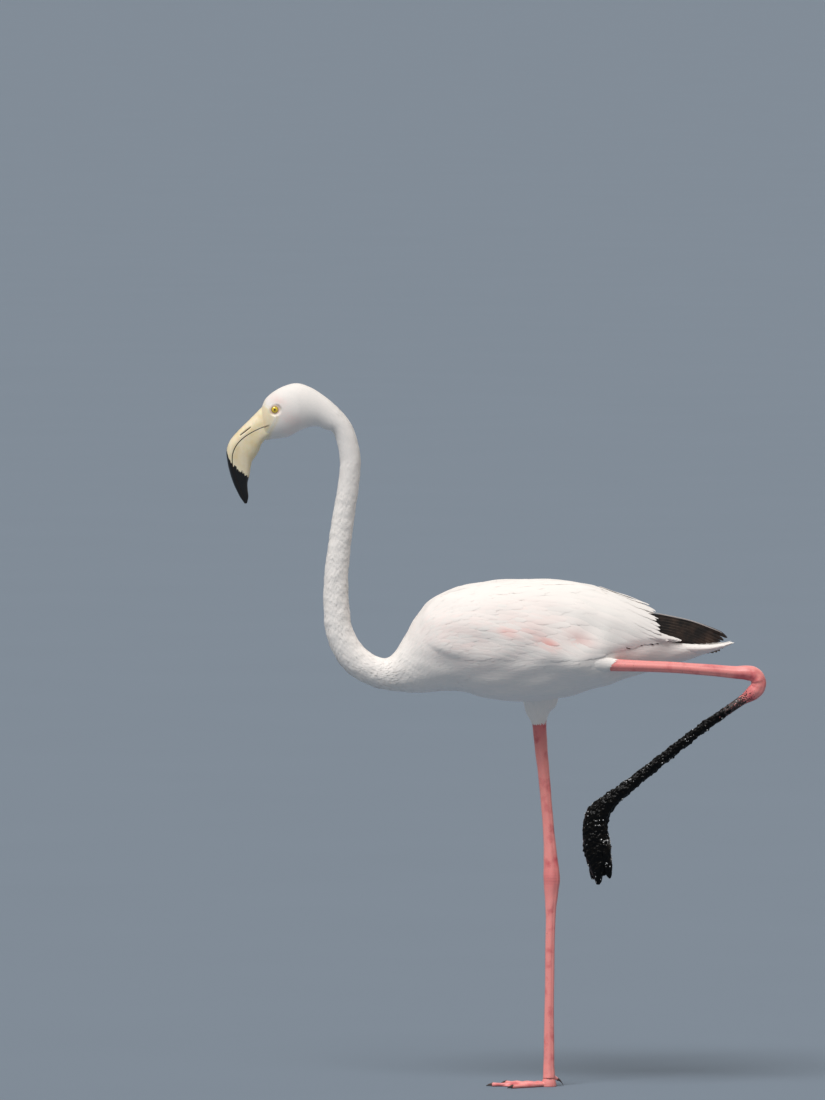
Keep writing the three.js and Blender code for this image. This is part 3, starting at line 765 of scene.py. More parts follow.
def down_material(colours):
    """Skin under the feathers, thick with white down: matt, and as pale as the feathers over it."""
    material, tree, shader = new_material("white_down_on_skin", Roughness=0.9, Specular_IOR_Level=0.1)
    coords = node(tree, "ShaderNodeTexCoord")
    cloud = node(tree, "ShaderNodeTexNoise", {"Vector": (coords, "Object")}, in_Scale=400.0, in_Detail=4.0)
    colour = node(tree, "ShaderNodeMix", {"Factor": (cloud, "Fac")}, data_type="RGBA", in_6=linear("EFE6E0"),
                  in_7=colours.plumage)
    finish_shader(tree, shader, (colour, 2), (cloud, "Fac"), 0.5, 0.001)
    return material


def cream_tone(tree, colours):
    """Cream of the bill, which runs on into the bare face, with soft deeper clouds some 10 mm across."""
    coords = node(tree, "ShaderNodeTexCoord")
    cloud = node(tree, "ShaderNodeTexNoise", {"Vector": (coords, "Object")}, in_Scale=75.0, in_Detail=4.0)
    share = node(tree, "ShaderNodeMapRange", {"Value": (cloud, "Fac")}, in_From_Min=0.38, in_From_Max=0.75)
    return node(tree, "ShaderNodeMix", {"Factor": (share, "Result")}, data_type="RGBA", in_6=colours.bill,
                in_7=colours.bill_deep)


def face_material(colours):
    """Bare face: thin soft skin with fine wrinkles, cream as the bill, pinkish round the eye, and painted
    shade along the mouth's crease."""
    material, tree, shader = new_material("bare_face_skin", Roughness=0.45, Subsurface_Weight=0.08,
                                          Subsurface_Scale=0.002)
    cream = cream_tone(tree, colours)
    lid = node(tree, "ShaderNodeAttribute", attribute_name="lid")
    mouth = node(tree, "ShaderNodeAttribute", attribute_name="mouth")
    down = node(tree, "ShaderNodeAttribute", attribute_name="down")
    pink = node(tree, "ShaderNodeMix", {"Factor": (lid, "Fac"), 6: (cream, 2)}, data_type="RGBA",
                in_7=colours.eyelid)
    white = node(tree, "ShaderNodeMix", {"Factor": (down, "Fac"), 6: (pink, 2)}, data_type="RGBA",
                 in_7=colours.plumage)
    # Painted shade: the mouth's crease is darkened where shade falls in it.
    dark = node(tree, "ShaderNodeMix", {"Factor": (mouth, "Fac"), 6: (white, 2)}, data_type="RGBA",
                in_7=linear("3A2A18"))
    coords = node(tree, "ShaderNodeTexCoord")
    grain = node(tree, "ShaderNodeTexNoise", {"Vector": (coords, "Object")}, in_Scale=900.0, in_Detail=3.0)
    finish_shader(tree, shader, (dark, 2), (grain, "Fac"), 0.25, 0.0004)
    return material


def leg_material(colours):
    """Leg skin: smooth pink scales 2 mm wide with a satin gloss, mottled, with specks of dried mud. The
    crease value deepens the pink at the hocks, partly their own colour and partly painted shade in their
    creases, and paints shade on the standing leg's top under the body.
    """
    material, tree, shader = new_material("pink_leg_scales", Roughness=0.4, Subsurface_Weight=0.15,
                                          Subsurface_Radius=(1.0, 0.35, 0.25), Subsurface_Scale=0.003,
                                          Coat_Weight=0.22, Coat_Roughness=0.35)
    coords = node(tree, "ShaderNodeTexCoord")
    cloud = node(tree, "ShaderNodeTexNoise", {"Vector": (coords, "Object")}, in_Scale=55.0, in_Detail=5.0)
    deep = node(tree, "ShaderNodeMapRange", {"Value": (cloud, "Fac")}, in_From_Min=0.5, in_From_Max=0.8)
    # crease: deeper pink at the hocks and painted shade at the standing leg's top under the feathers.
    crease = node(tree, "ShaderNodeAttribute", attribute_name="crease")
    share = node(tree, "ShaderNodeMath", {0: (deep, "Result"), 1: (crease, "Fac")}, operation="ADD",
                 use_clamp=True)
    pink = node(tree, "ShaderNodeMix", {"Factor": (share, "Value")}, data_type="RGBA", in_6=colours.leg,
                in_7=colours.leg_deep_and_shade)
    scales = node(tree, "ShaderNodeTexVoronoi", {"Vector": (coords, "Object")}, feature="DISTANCE_TO_EDGE",
                  in_Scale=480.0)
    seam = node(tree, "ShaderNodeMapRange", {"Value": (scales, "Distance")}, in_From_Max=0.1, in_To_Min=0.93)
    lined = node(tree, "ShaderNodeVectorMath", {0: (pink, 2), "Scale": (seam, "Result")}, operation="SCALE")
    specks = node(tree, "ShaderNodeTexNoise", {"Vector": (coords, "Object")}, in_Scale=520.0, in_Detail=4.0)
    mud = node(tree, "ShaderNodeAttribute", attribute_name="mud")
    dirt = node(tree, "ShaderNodeMath", {0: (specks, "Fac"), 1: (mud, "Fac")}, operation="ADD")
    spots = node(tree, "ShaderNodeMapRange", {"Value": (dirt, "Value")}, in_From_Min=0.7, in_From_Max=0.76)
    colour = node(tree, "ShaderNodeMix", {"Factor": (spots, "Result"), 6: (lined, "Vector")},
                  data_type="RGBA", in_7=linear("2A1B19"))
    finish_shader(tree, shader, (colour, 2), (seam, "Result"), 0.25, 0.0008)
    return material


def bill_material(colours):
    """Bill horn: satin keratin, cream, with a ragged black tip that reaches higher along the ridge, and
    painted shade in the grooves along the cutting edges and in the nostril slits.
    """
    material, tree, shader = new_material("cream_and_black_bill_horn", Roughness=0.36, Coat_Weight=0.12,
                                          Coat_Roughness=0.25, Subsurface_Weight=0.08, Subsurface_Scale=0.002)
    cream = cream_tone(tree, colours)
    coords = node(tree, "ShaderNodeTexCoord")
    streak = node(tree, "ShaderNodeMapping", {"Vector": (coords, "Object")}, in_Scale=(1.0, 1.0, 0.2))
    jag = node(tree, "ShaderNodeTexNoise", {"Vector": (streak, "Vector")}, in_Scale=520.0, in_Detail=4.0)
    (edge_x, _, edge_z), slope, jag_height = place([-441, 0, 868.5]), 0.75, 0.02
    level = node(tree, "ShaderNodeVectorMath", {0: (coords, "Object")}, operation="DOT_PRODUCT",
                 in_1=(slope, 0.0, 1.0))
    ragged = node(tree, "ShaderNodeMath", {0: (jag, "Fac"), 2: (level, "Value")}, operation="MULTIPLY_ADD",
                  in_1=jag_height)
    ridge = node(tree, "ShaderNodeAttribute", attribute_name="ridge")
    lowered = node(tree, "ShaderNodeMath", {0: (ridge, "Fac"), 2: (ragged, "Value")},
                   operation="MULTIPLY_ADD", in_1=-0.016)
    start = edge_x * slope + edge_z + jag_height / 2
    tip = node(tree, "ShaderNodeMapRange", {"Value": (lowered, "Value")}, in_From_Min=start + 0.0006,
               in_From_Max=start - 0.0006)
    black = node(tree, "ShaderNodeMix", {"Factor": (tip, "Result"), 6: (cream, 2)}, data_type="RGBA",
                 in_7=colours.bill_tip)
    # Painted shade: the grooves and nostril slits are darkened where shade falls in them.
    groove = node(tree, "ShaderNodeAttribute", attribute_name="groove")
    colour = node(tree, "ShaderNodeMix", {"Factor": (groove, "Fac"), 6: (black, 2)}, data_type="RGBA",
                  in_7=linear("1E150F"))
    finish_shader(tree, shader, (colour, 2), (jag, "Fac"), 0.2, 0.0004)
    return material


def eye_material(colours):
    """Eye: yellow iris with fine spokes and a dark rim round a small pupil, under a clear wet cornea."""
    material, tree, shader = new_material("yellow_iris_under_cornea", Roughness=0.15, Coat_Weight=1.0,
                                          Coat_Roughness=0.02)
    ring = node(tree, "ShaderNodeAttribute", attribute_name="ring")
    spoke = node(tree, "ShaderNodeAttribute", attribute_name="spoke")
    noise = node(tree, "ShaderNodeTexNoise", {"Vector": (spoke, "Vector")}, in_Scale=3.0, in_Detail=3.0)
    iris = node(tree, "ShaderNodeMix", {"Factor": (noise, "Fac")}, data_type="RGBA", in_6=linear("D9B128"),
                in_7=colours.iris)
    bands = node(tree, "ShaderNodeValToRGB", {"Fac": (ring, "Fac")})
    ramp = bands.color_ramp
    ramp.elements[1].color = (0.02, 0.02, 0.02, 1)
    ramp.elements[0].color = (0, 0, 0, 1)
    for position, level in ((0.105, 0.0), (0.14, 0.9), (0.3, 1.0), (0.41, 0.85), (0.47, 0.3), (0.54, 0.05)):
        ramp.elements.new(position).color = (level, level, level, 1)
    colour = node(tree, "ShaderNodeVectorMath", {0: (iris, 2), 1: (bands, "Color")}, operation="MULTIPLY")
    finish_shader(tree, shader, (colour, "Vector"), (noise, "Fac"), 0.05, 0.0002)
    return material


def mud_material(colours):
    """Estuary mud: black, wet and lumpy, with pale specks about 1 mm across that are painted highlights,
    glints on the wet lumps.
    """
    material, tree, shader = new_material("wet_black_mud", Roughness=0.3, Specular_IOR_Level=0.12,
                                          Coat_Weight=0.04, Coat_Roughness=0.1)
    coords = node(tree, "ShaderNodeTexCoord")
    # Painted highlight: pale specks that stand for glints of light on the wet lumps.
    glint_cells = node(tree, "ShaderNodeTexVoronoi", {"Vector": (coords, "Object")}, in_Scale=260.0)
    speck = node(tree, "ShaderNodeMapRange", {"Value": (glint_cells, "Distance")}, in_From_Min=0.17,
                 in_From_Max=0.12)
    pick = node(tree, "ShaderNodeSeparateXYZ", {"Vector": (glint_cells, "Color")})
    some = node(tree, "ShaderNodeMapRange", {"Value": (pick, "X")}, in_From_Min=0.88, in_From_Max=0.9)
    amount = node(tree, "ShaderNodeMath", {0: (speck, "Result"), 1: (some, "Result")}, operation="MULTIPLY")
    colour = node(tree, "ShaderNodeMix", {"Factor": (amount, "Value")}, data_type="RGBA", in_6=colours.mud,
                  in_7=linear("8F8B86"))
    lumps = node(tree, "ShaderNodeTexNoise", {"Vector": (coords, "Object")}, in_Scale=500.0, in_Detail=4.0)
    finish_shader(tree, shader, (colour, 2), (lumps, "Fac"), 0.5, 0.0012)
    return material


def drop_material():
    """Beads of muddy water: smooth and wet, with grey to white clouds of painted highlight that stand for
    glints.
    """
    material, tree, shader = new_material("water_beads_with_painted_glints", Roughness=0.06, Coat_Weight=1.0)
    coords = node(tree, "ShaderNodeTexCoord")
    cloud = node(tree, "ShaderNodeTexNoise", {"Vector": (coords, "Object")}, in_Scale=600.0)
    # Painted highlight: white clouds on the beads stand for glints of light.
    colour = node(tree, "ShaderNodeMix", {"Factor": (cloud, "Fac")}, data_type="RGBA",
                  in_6=linear("6A6A68"), in_7=linear("FFFFFF"))
    tree.links.new(colour.outputs[2], shader.inputs["Base Color"])
    return material


def claw_material(colours):
    """Claws: dark horn with a satin gloss, paler at the root, with fine lines along it."""
    material, tree, shader = new_material("dark_claw_horn", Roughness=0.38)
    share = node(tree, "ShaderNodeAttribute", attribute_name="share")
    colour = node(tree, "ShaderNodeMix", {"Factor": (share, "Fac")}, data_type="RGBA", in_6=linear("5A4038"),
                  in_7=colours.claw)
    coords = node(tree, "ShaderNodeTexCoord")
    grain = node(tree, "ShaderNodeTexNoise", {"Vector": (coords, "Object")}, in_Scale=1500.0, in_Detail=2.0)
    finish_shader(tree, shader, (colour, 2), (grain, "Fac"), 0.15, 0.0003)
    return material


# --- Skin ------------------------------------------------------------------------------------------------

# Depth of the feathers (second value, in mm) at a section of the body (first value).
COAT_DEPTHS = np.array([
    (0, 0.1), (0.5, 0.25), (2, 0.4), (7, 0.55), (12, 0.9), (18, 1.4), (21, 1.6), (29, 1.6),
])


def coat_depth(section):
    return np.interp(section, COAT_DEPTHS[:, 0], COAT_DEPTHS[:, 1])


# Where the bare face ends, in the side view: (z, x), with feathers behind.
FACE_EDGE = np.array([(900, -401), (907, -400.5), (918, -396.5), (929, -390.5), (934, -388), (940, -386),
                      (945, -390.5), (951, -394.5), (955, -400), (958, -406)])
MOUTH_CREASE = np.array([(-409.5, 923.0), (-393.4, 929.6)])  # the mouth's line in the face, in the side view


def bare(points):
    """How far in front of the feather line a point of the head is, in millimetres."""
    return np.interp(points[..., 2], FACE_EDGE[:, 0], FACE_EDGE[:, 1]) - points[..., 0]


def eye_distance(points):
    """Distance from the eye's axis, in the side view, where the lids' opening is a little wider than
    high."""
    away = points - EYE
    return np.hypot(away[..., 0], away[..., 2] * 1.07)


def segment_distance(points, segment):
    """Distance from a segment in the side view, and the share of the way along it."""
    flat = points[..., [0, 2]]
    run = segment[1] - segment[0]
    share = np.clip(((flat - segment[0]) @ run) / (run @ run), 0, 1)
    return np.linalg.norm(flat - (segment[0] + share[..., None] * run), axis=-1), share


LID_PROFILE = np.array([  # distance from the eye's axis, distance out from the middle of the head
    (0, 14), (4.3, 15.5), (4.7, 18.6), (4.95, 19.3), (5.4, 19.55), (6.1, 19.3), (7.1, 18.95), (8.4, 19),
    (10.5, 19.3),
])


def head_point(section, angle, lift=0.0):
    """The body's outline, which takes on the lids' profile round each eye."""
    grid = body_point(section, angle, lift)
    radius = eye_distance(grid)
    level = np.interp(radius, LID_PROFILE[:, 0], LID_PROFILE[:, 1]) + lift
    strength = (1 - smoothstep(radius, 6.5, 10.5)) * (np.abs(grid[..., 1]) > 8)
    grid[..., 1] = mix(grid[..., 1], np.sign(grid[..., 1]) * level, strength)
    return grid


def body_skin():
    """The body inside its coat: the outline less the coat's depth. Round each eye the surface follows the
    lids' profile, which turns in over the eyeball, and fine wrinkles ring it. The mouth's line runs on as a
    crease."""
    spans = ((0, 1.2, 28), (1.2, 3.1, 84), (3.1, 7, 36), (7, 18, 70), (18, 29, 60))
    rings = np.concatenate([np.linspace(*span)[number > 0:] for number, span in enumerate(spans)])
    fine = np.linspace(-math.pi, math.pi, 2001)
    density = 1 + 2.8 * np.exp(-((np.abs(fine) - 1.4) / 0.36) ** 2)
    run = np.concatenate([[0], np.cumsum((density[1:] + density[:-1]) / 2)])
    angles = np.interp(np.linspace(0, 1, 145)[:-1] * run[-1], run, fine)
    on_head = (rings < 4)[:, None]
    outline = body_point(rings[:, None], angles[None, :], -0.1)
    naked = smoothstep(bare(outline), -1.0, 1.5) * on_head
    away, share = segment_distance(outline, MOUTH_CREASE)
    crease = -0.3 * np.exp(-((away / 0.6) ** 2)) * (1 - 0.4 * share)
    crease = crease + 0.2 * np.exp(-(((away - 1.7) / 0.8) ** 2))
    wrinkles = 0.07 * ripple(outline * np.array([1.0, 0.3, 1.6]), 2.6, 4)
    wrinkles = wrinkles * smoothstep(rings, 0.4, 1.2)[:, None]
    sunk = -0.9 * (1 - smoothstep(rings, 0, 0.3))[:, None]
    depth = -coat_depth(rings)[:, None] * (1 - naked)
    radius = eye_distance(outline)
    folds = 0.13 * np.sin(radius * 2 * math.pi / 1.15 + 1.3 * ripple(outline, 9, 6))
    folds = folds * smoothstep(radius, 5.6, 6.4) * (1 - smoothstep(radius, 9, 12)) * on_head
    lift = depth + folds + naked * (wrinkles - 0.1 + crease) + sunk
    grid = head_point(rings[:, None], angles[None, :], lift)
    points = np.vstack([grid.reshape(-1, 3), grid[0].mean(0) + np.array([-4, 0, -2]), grid[-1].mean(0)])
    return points, tube_faces(len(rings), len(angles))


def leg_lift(share, angle, hock_share, muddy_from):
    """Relief of a bare leg: long grooves beside the tendon, creases and side knobs at the hock, slight
    unevenness, and less flesh where mud covers it."""
    groove = -0.7 * np.exp(-((np.abs(np.sin(angle)) - 0.8) / 0.14) ** 2) * (np.cos(angle) < 0.6)
    crease = -0.4 * np.cos(share * 520) ** 8 * np.exp(-(((share - hock_share) / 0.035) ** 2))
    knob = 0.9 * np.exp(-(((share - hock_share) / 0.02) ** 2)) * np.abs(np.sin(angle)) ** 4
    uneven = 0.25 * np.sin(share * 61 + 2 * np.cos(angle)) * np.sin(share * 37 + np.sin(angle))
    return groove + crease + knob + uneven - 2.2 * smoothstep(share, muddy_from - 0.03, muddy_from + 0.02)


def leg_skin(stations, last, hock_share, muddy_from=2.0):
    """One leg inside its feathers and mud, from the hip down."""
    shares = np.linspace(0, 1, 420)[:, None]
    angles = np.linspace(0, 2 * math.pi, 40, endpoint=False)[None, :]
    feathered = 1 - smoothstep(shares * last, FEATHER_EDGE - 0.7, FEATHER_EDGE - 0.05)
    lift = -1.8 * feathered + leg_lift(shares, angles, hock_share, muddy_from)
    return closed_tube(limb_surface(stations, 0, last), shares[:, 0], 40, lift)


def along_toe(heading, distance, sideways, height):
    """The point at a distance along a toe from the foot's middle."""
    turn = math.radians(heading)
    return np.stack([
        FOOT[0] - math.cos(turn) * distance + math.sin(turn) * sideways,
        FOOT[1] - math.sin(turn) * distance - math.cos(turn) * sideways,
        height + 0 * distance,
    ], -1)


def toe_surface(heading, length, joints, half):
    """A toe that lies flat: its oval swells at each joint, thins by a third to the tip, and has narrow
    creases between scales 3.2 mm long on top."""

    def point(share, angle, lift=0.0):
        share, angle = np.broadcast_arrays(share, angle)
        swelling = 0.85 + 0.15 * np.cos(share * joints * 2 * math.pi)
        taper = 1 - 0.35 * share
        rings = 1 - 0.05 * np.cos(share * length / 3.2 * math.pi) ** 8 * (np.sin(angle) > 0)
        size = half * swelling * taper * rings
        height = half * taper * 0.8 + size * 0.95 * np.sin(angle)
        return along_toe(heading, share * length, size * np.cos(angle), np.maximum(height, 0))

    return point


def hind_toe(share, angle, lift=0.0):
    """The short hind toe, which hangs from the back of the leg and bends down."""
    heading, length, rise = HIND_TOE
    size = 3.8 - 1.4 * share
    height = rise - 5 * share**2 + size * np.sin(angle)
    return along_toe(heading, share * length, size * np.cos(angle), height)


def foot_pad(share, angle, lift=0.0):
    """The pad where toes and leg meet: a dome as wide as the knuckles."""
    share, angle = np.broadcast_arrays(share, angle)
    radius = 10.5 * np.sqrt(1 - (0.78 * share) ** 2)
    return np.stack([FOOT[0] + radius * np.cos(angle), FOOT[1] + radius * np.sin(angle), 14 * share], -1)


def web_between(toe_1, toe_2):
    """A web: a fan from the foot's middle between two toes, whose front edge is scooped, whose top sags
    between the toes and ripples along them, and whose underside lies on the floor."""
    across = np.linspace(0, 1, 61)[None, :]
    along = np.linspace(0.02, 1, 60)[:, None]
    turn = np.radians(mix(toe_1[0], toe_2[0], across))
    reach = mix(toe_1[1], toe_2[1], across) * (0.86 - 0.3 * np.sin(math.pi * across) ** 0.9) * along
    ripples = 0.28 * np.sin(across * 30 + along * 5) + 0.18 * np.sin(along * 42 + across * 9)
    top = 1.7 + 0.7 * np.cos(across * 2 * math.pi) + ripples
    x, y = FOOT[0] - np.cos(turn) * reach, FOOT[1] - np.sin(turn) * reach
    upper = np.stack([x, y, top], -1)
    ring = np.concatenate([upper, (upper * np.array([1, 1, 0]))[:, ::-1]], 1)
    points = np.vstack([ring.reshape(-1, 3), ring[0].mean(0), ring[-1].mean(0)])
    return points, tube_faces(ring.shape[0], ring.shape[1])


def foot_mesh():
    """Toes, hind toe, pad and webs of the standing foot, melted into one closed mesh that stands on the
    floor."""
    parts = [closed_tube(toe_surface(*toe), np.linspace(0, 1, 30 * toe[2]), 32) for toe in TOES]
    parts.append(closed_tube(hind_toe, np.linspace(0, 1, 20), 24))
    parts.append(closed_tube(foot_pad, np.linspace(0, 1, 16), 40))
    parts += [web_between(*pair) for pair in zip(TOES, TOES[1:])]
    foot = finished_mesh(
        merged_mesh("foot", parts),
        ("REMESH", {"mode": "VOXEL", "voxel_size": 0.7}),
        ("SMOOTH", {"factor": 0.5, "iterations": 2}),
    )
    points = points_of(foot)
    points[:, 2] = np.maximum(points[:, 2], 0)
    foot.vertices.foreach_set("co", points.astype(np.float32).ravel())
    return foot


def merged_mesh(name, parts):
    """Closed parts side by side in one mesh."""
    points, faces, offset = [], [], 0
    for part_points, part_faces in parts:
        turned = outward(part_points, part_faces)
        faces += [face for group in turned for face in (group + offset).tolist()]
        points.append(part_points)
        offset += len(part_points)
    mesh = bpy.data.meshes.new(name)
    mesh.from_pydata(np.vstack(points).tolist(), [], faces)
    return mesh


def united(first, *others):
    """The union of closed meshes, as one closed mesh."""
    for number, other in enumerate(others):
        cutter = bpy.data.objects.new(f"joined_{number}", other)
        bpy.context.scene.collection.objects.link(cutter)
        joint = {"operation": "UNION", "solver": "MANIFOLD", "object": cutter}
        first = finished_mesh(first, ("BOOLEAN", joint))
        bpy.data.objects.remove(cutter)
    return first


def triangles_of(mesh):
    mesh.calc_loop_triangles()
    corners = np.empty(len(mesh.loop_triangles) * 3, np.int32)
    mesh.loop_triangles.foreach_get("vertices", corners)
    return corners.reshape(-1, 3)


HOCKS = np.array([(0, 16, 292), (272, -55, 568)])  # middles of the standing and the raised hock
MUD_EDGE = (0.8, 0.6, 529.0)  # mud starts where 0.8 x + 0.6 z falls below the last value
LEG_TOP = 525  # all skin under this height is a leg's
RAISED_LEG_TOP = -514  # the raised leg's skin starts where x is z and this much more
LEG_REACH = (9.8, 14)  # how far from the raised leg's middle its skin may be, before and behind x = 120


def make_skin(colours):
    """One closed skin over head, neck, trunk, legs and standing foot."""
    right = plain_mesh("right_leg", *leg_skin(STANDING_LEG, 14, 9 / 14))
    left = plain_mesh("left_leg", *leg_skin(RAISED_LEG, 16, 9 / 16, 11.6 / 16))
    mesh = united(plain_mesh("body", *body_skin()), right, left, foot_mesh())
    points, triangles = points_of(mesh), triangles_of(mesh)
    _, found, count = np.unique(np.sort(triangles, 1), axis=0, return_inverse=True, return_counts=True)
    triangles = triangles[count[found.ravel()] == 1]  # without pairs folded flat against each other
    middle = points[triangles].mean(1)
    face = ((bare(middle) > -6) | (eye_distance(middle) < 11)) & (middle[:, 2] > 900)
    x, y, z = middle.T
    leg = (z < LEG_TOP) | ((x > z + RAISED_LEG_TOP) & (x > 70) & (y < -40))
    limb = limb_surface(RAISED_LEG, FEATHER_EDGE, 13)
    line = limb(np.linspace(0, 1, 90)[:, None], np.array([0, math.pi])).mean(1)
    behind = np.flatnonzero(leg & (z > LEG_TOP))
    away = np.linalg.norm(middle[behind, None] - line, axis=2).min(1)
    leg[behind[away > np.where(x[behind] < 120, *LEG_REACH)]] = False
    radius = eye_distance(points)
    lid = 0.75 * (1 - smoothstep(radius, 5.2, 9.0)) + 0.6 * (1 - smoothstep(radius, 4.9, 5.3))
    away, share = segment_distance(points, MOUTH_CREASE)
    # mouth: where painted shade darkens the crease that runs on from the mouth.
    mouth = 0.85 * (1 - smoothstep(away, 0.2, 1.4)) * (1 - smoothstep(share, 0.7, 1.0))
    down = mix(0.1, 1.0, smoothstep(-bare(points), -6, 4)) * smoothstep(radius, 6, 10)
    reach = points[:, 0] * MUD_EDGE[0] + points[:, 2] * MUD_EDGE[1] - MUD_EDGE[2]
    raised = (points[:, 1] < -40) & (points[:, 0] > 60) & (points[:, 2] < 575)
    mud = 0.4 * (1 - smoothstep(reach, -8, 48)) * raised
    # Deeper pink at the hocks: partly the joints' own colour, partly painted shade in their creases.
    hock = np.exp(-((np.linalg.norm(points[:, None] - HOCKS, axis=2).min(1) / 16) ** 2))
    # Painted shade: the standing leg's top, under the body's feathers, is darkened.
    top = np.exp(-(((points[:, 2] - 512) / 24) ** 2)) * (points[:, 0] < 60)
    materials = [down_material(colours), face_material(colours), leg_material(colours)]
    piece = make_piece("skin", points, [triangles], materials, "leg_skin",
                       face_material=np.where(face, 1, np.where(leg, 2, 0)), lid=np.clip(lid, 0, 1),
                       mouth=mouth, down=down, mud=mud, crease=np.clip(0.5 * hock + 0.6 * top, 0, 1))
    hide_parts("head", *(f"neck_{number}" for number in range(1, 6)), "trunk", "thigh_right",
                "thigh_left", "tibia_right", "tibia_left", "hock_right", "hock_left", "tarsus_right",
                "foot_right")


# --- Bill, eyes, claws and mud ---------------------------------------------------------------------------


def bill_surface(outline, narrow):
    """Half of the bill, a function of (share, height, side, lift): at each station a dome from the line of
    the mouth out to the ridge or keel. Height and side are shares of its depth and of half its width."""
    shares = np.linspace(0, 1, 801)
    mouth = spline(BILL_STATIONS[:, 2:4], shares)
    edge = spline(BILL_STATIONS[:, outline:outline + 2], shares)
    half = spline(BILL_STATIONS[:, 6:7], shares)[:, 0]
    columns = np.column_stack([mouth, edge - mouth, half])

    def point(share, height, side, lift=0.0):
        share, height, side, lift = np.broadcast_arrays(share, height, side, lift)
        row = np.stack([np.interp(share, shares, column) for column in columns.T], -1)
        depth = np.hypot(row[..., 2], row[..., 3])
        reach = (depth + lift) * height
        direction = row[..., 2:4] / depth[..., None]
        return np.stack([row[..., 0] + direction[..., 0] * reach, (row[..., 4] * narrow + lift) * side,
                         row[..., 1] + direction[..., 1] * reach], -1), depth * height

    return point


NOSTRIL = np.array([(-422.0, 925.8), (-436.4, 914.6)])  # ends of the slit, in the side view


def make_bill(colours):
    """Both halves of the bill, with grooves along the cutting edges and a slit for each nostril, which the
    groove value marks for painted shade. The dome's height goes as the sine of an angle to the roundness
    while its side goes as the cosine."""
    material = bill_material(colours)
    for name, outline, roundness, narrow in (("upper", 0, 0.85, 0.95), ("lower", 4, 0.62, 0.95)):
        surface = bill_surface(outline, narrow)
        shares = np.linspace(0, 1, 300)[:, None]
        rim = np.concatenate([np.linspace(0, 0.09, 14), np.linspace(0.09, 1, 32)[1:]])
        flank = np.sqrt(1 - rim ** (2 / roundness))
        inside = np.linspace(-1, 1, 10)[1:-1]
        height = np.concatenate([rim, rim[-2::-1], 0 * inside])[None, :]
        side = np.concatenate([flank, -flank[-2::-1], inside])[None, :]
        outer = np.arange(height.size)[None, :] < 2 * len(rim) - 1
        grid, rise = surface(shares, height, side)
        near_edge = np.where(outer, rise, 0)
        lift = -0.5 * np.exp(-((near_edge / 0.6) ** 2)) + 0.12 * ripple(grid * np.array([1, 1, 0.35]), 6, 5)
        # groove: where painted shade darkens the bill along its cutting edges.
        groove = 1 - smoothstep(near_edge, 0.35, 1.0)
        if name == "upper":
            slit, share = segment_distance(grid, NOSTRIL)
            width = 0.4 + 0.3 * np.sin(math.pi * share)
            slit = slit + 5 * (np.abs(grid[..., 1]) < 4)
            lift = lift - 1.2 * np.exp(-((slit / (1.6 * width)) ** 2))
            lift = lift + 0.06 * np.exp(-(((slit - 2.4) / 0.9) ** 2))
            groove = np.maximum(groove, 1 - smoothstep(slit, width * 0.7, width * 1.5))
        ridge = (height + 0 * shares) ** 2 * (name == "upper")
        grid, _ = surface(shares, height, side, lift)
        points = np.vstack([grid.reshape(-1, 3), grid[0].mean(0), grid[-1].mean(0)])
        piece = make_piece(f"bill_{name}_horn", points, tube_faces(*grid.shape[:2]), [material], "bill_horn",
                           groove=np.append(groove.ravel(), [0, 0]), ridge=np.append(ridge.ravel(), [0, 0]))
        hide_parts(f"bill_{name}")


def make_eyes(colours):
    """Eyeballs: a sphere with a low cornea bulge, turned about the axis that looks sideways."""
    material = eye_material(colours)
    tilt = np.linspace(0.0, math.pi, 60)[1:-1]
    around = np.linspace(0, 2 * math.pi, 64, endpoint=False)
    radius = EYE_RADIUS - 0.05 + 0.12 * np.exp(-((tilt / 0.5) ** 2))
    across = (radius * np.sin(tilt))[:, None]
    out = (radius * np.cos(tilt))[:, None] + 0 * around
    grid = np.stack([across * np.cos(around), -out, across * np.sin(around)], -1)
    ball = np.vstack([grid.reshape(-1, 3), [[0, -radius[0], 0], [0, radius[-1], 0]]])
    ring = np.append(np.repeat(np.minimum(tilt / (math.pi / 2), 1), len(around)), [0, 1])
    circle = np.stack([np.cos(around) * 4, np.sin(around) * 4, 0 * around], -1)
    spoke = np.vstack([np.tile(circle, (len(tilt), 1)), np.zeros((2, 3))])
    for name, side in (("left", 1), ("right", -1)):
        piece = make_piece(f"eyeball_{name}", (ball + EYE) * np.array([1, side, 1]),
                           tube_faces(len(tilt), len(around)), [material], "eye", ring=ring, spoke=spoke)
        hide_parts(f"eye_{name}")


def make_claws(colours):
    """Claws: cones that curve down to the floor, with a ridge on top."""
    material = claw_material(colours)
    claws = {"inner": (TOES[0], 3), "middle": (TOES[1], 3), "outer": (TOES[2], 3), "hind": (HIND_TOE, 10)}
    shares = np.linspace(0, 1, 24)
    for name, ((heading, length, *_), height) in claws.items():

        def claw(share, angle, lift=0.0):
            size = CLAW_HALF * (1 - 0.85 * share) * (1 + 0.12 * np.maximum(np.sin(angle), 0) ** 4)
            level = np.maximum(0.3, mix(height, 1.0, share**2) + size * np.sin(angle))
            return along_toe(heading, length - 1.2 + share * (CLAW_LENGTH + 1.4), size * np.cos(angle), level)

        points, faces = closed_tube(claw, shares, 20)
        piece = make_piece(f"claw_{name}_horn", points, faces, [material], "claw_horn",
                           share=np.append(np.repeat(shares, 20), [0, 1]))
        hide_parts(f"claw_right_{name}")


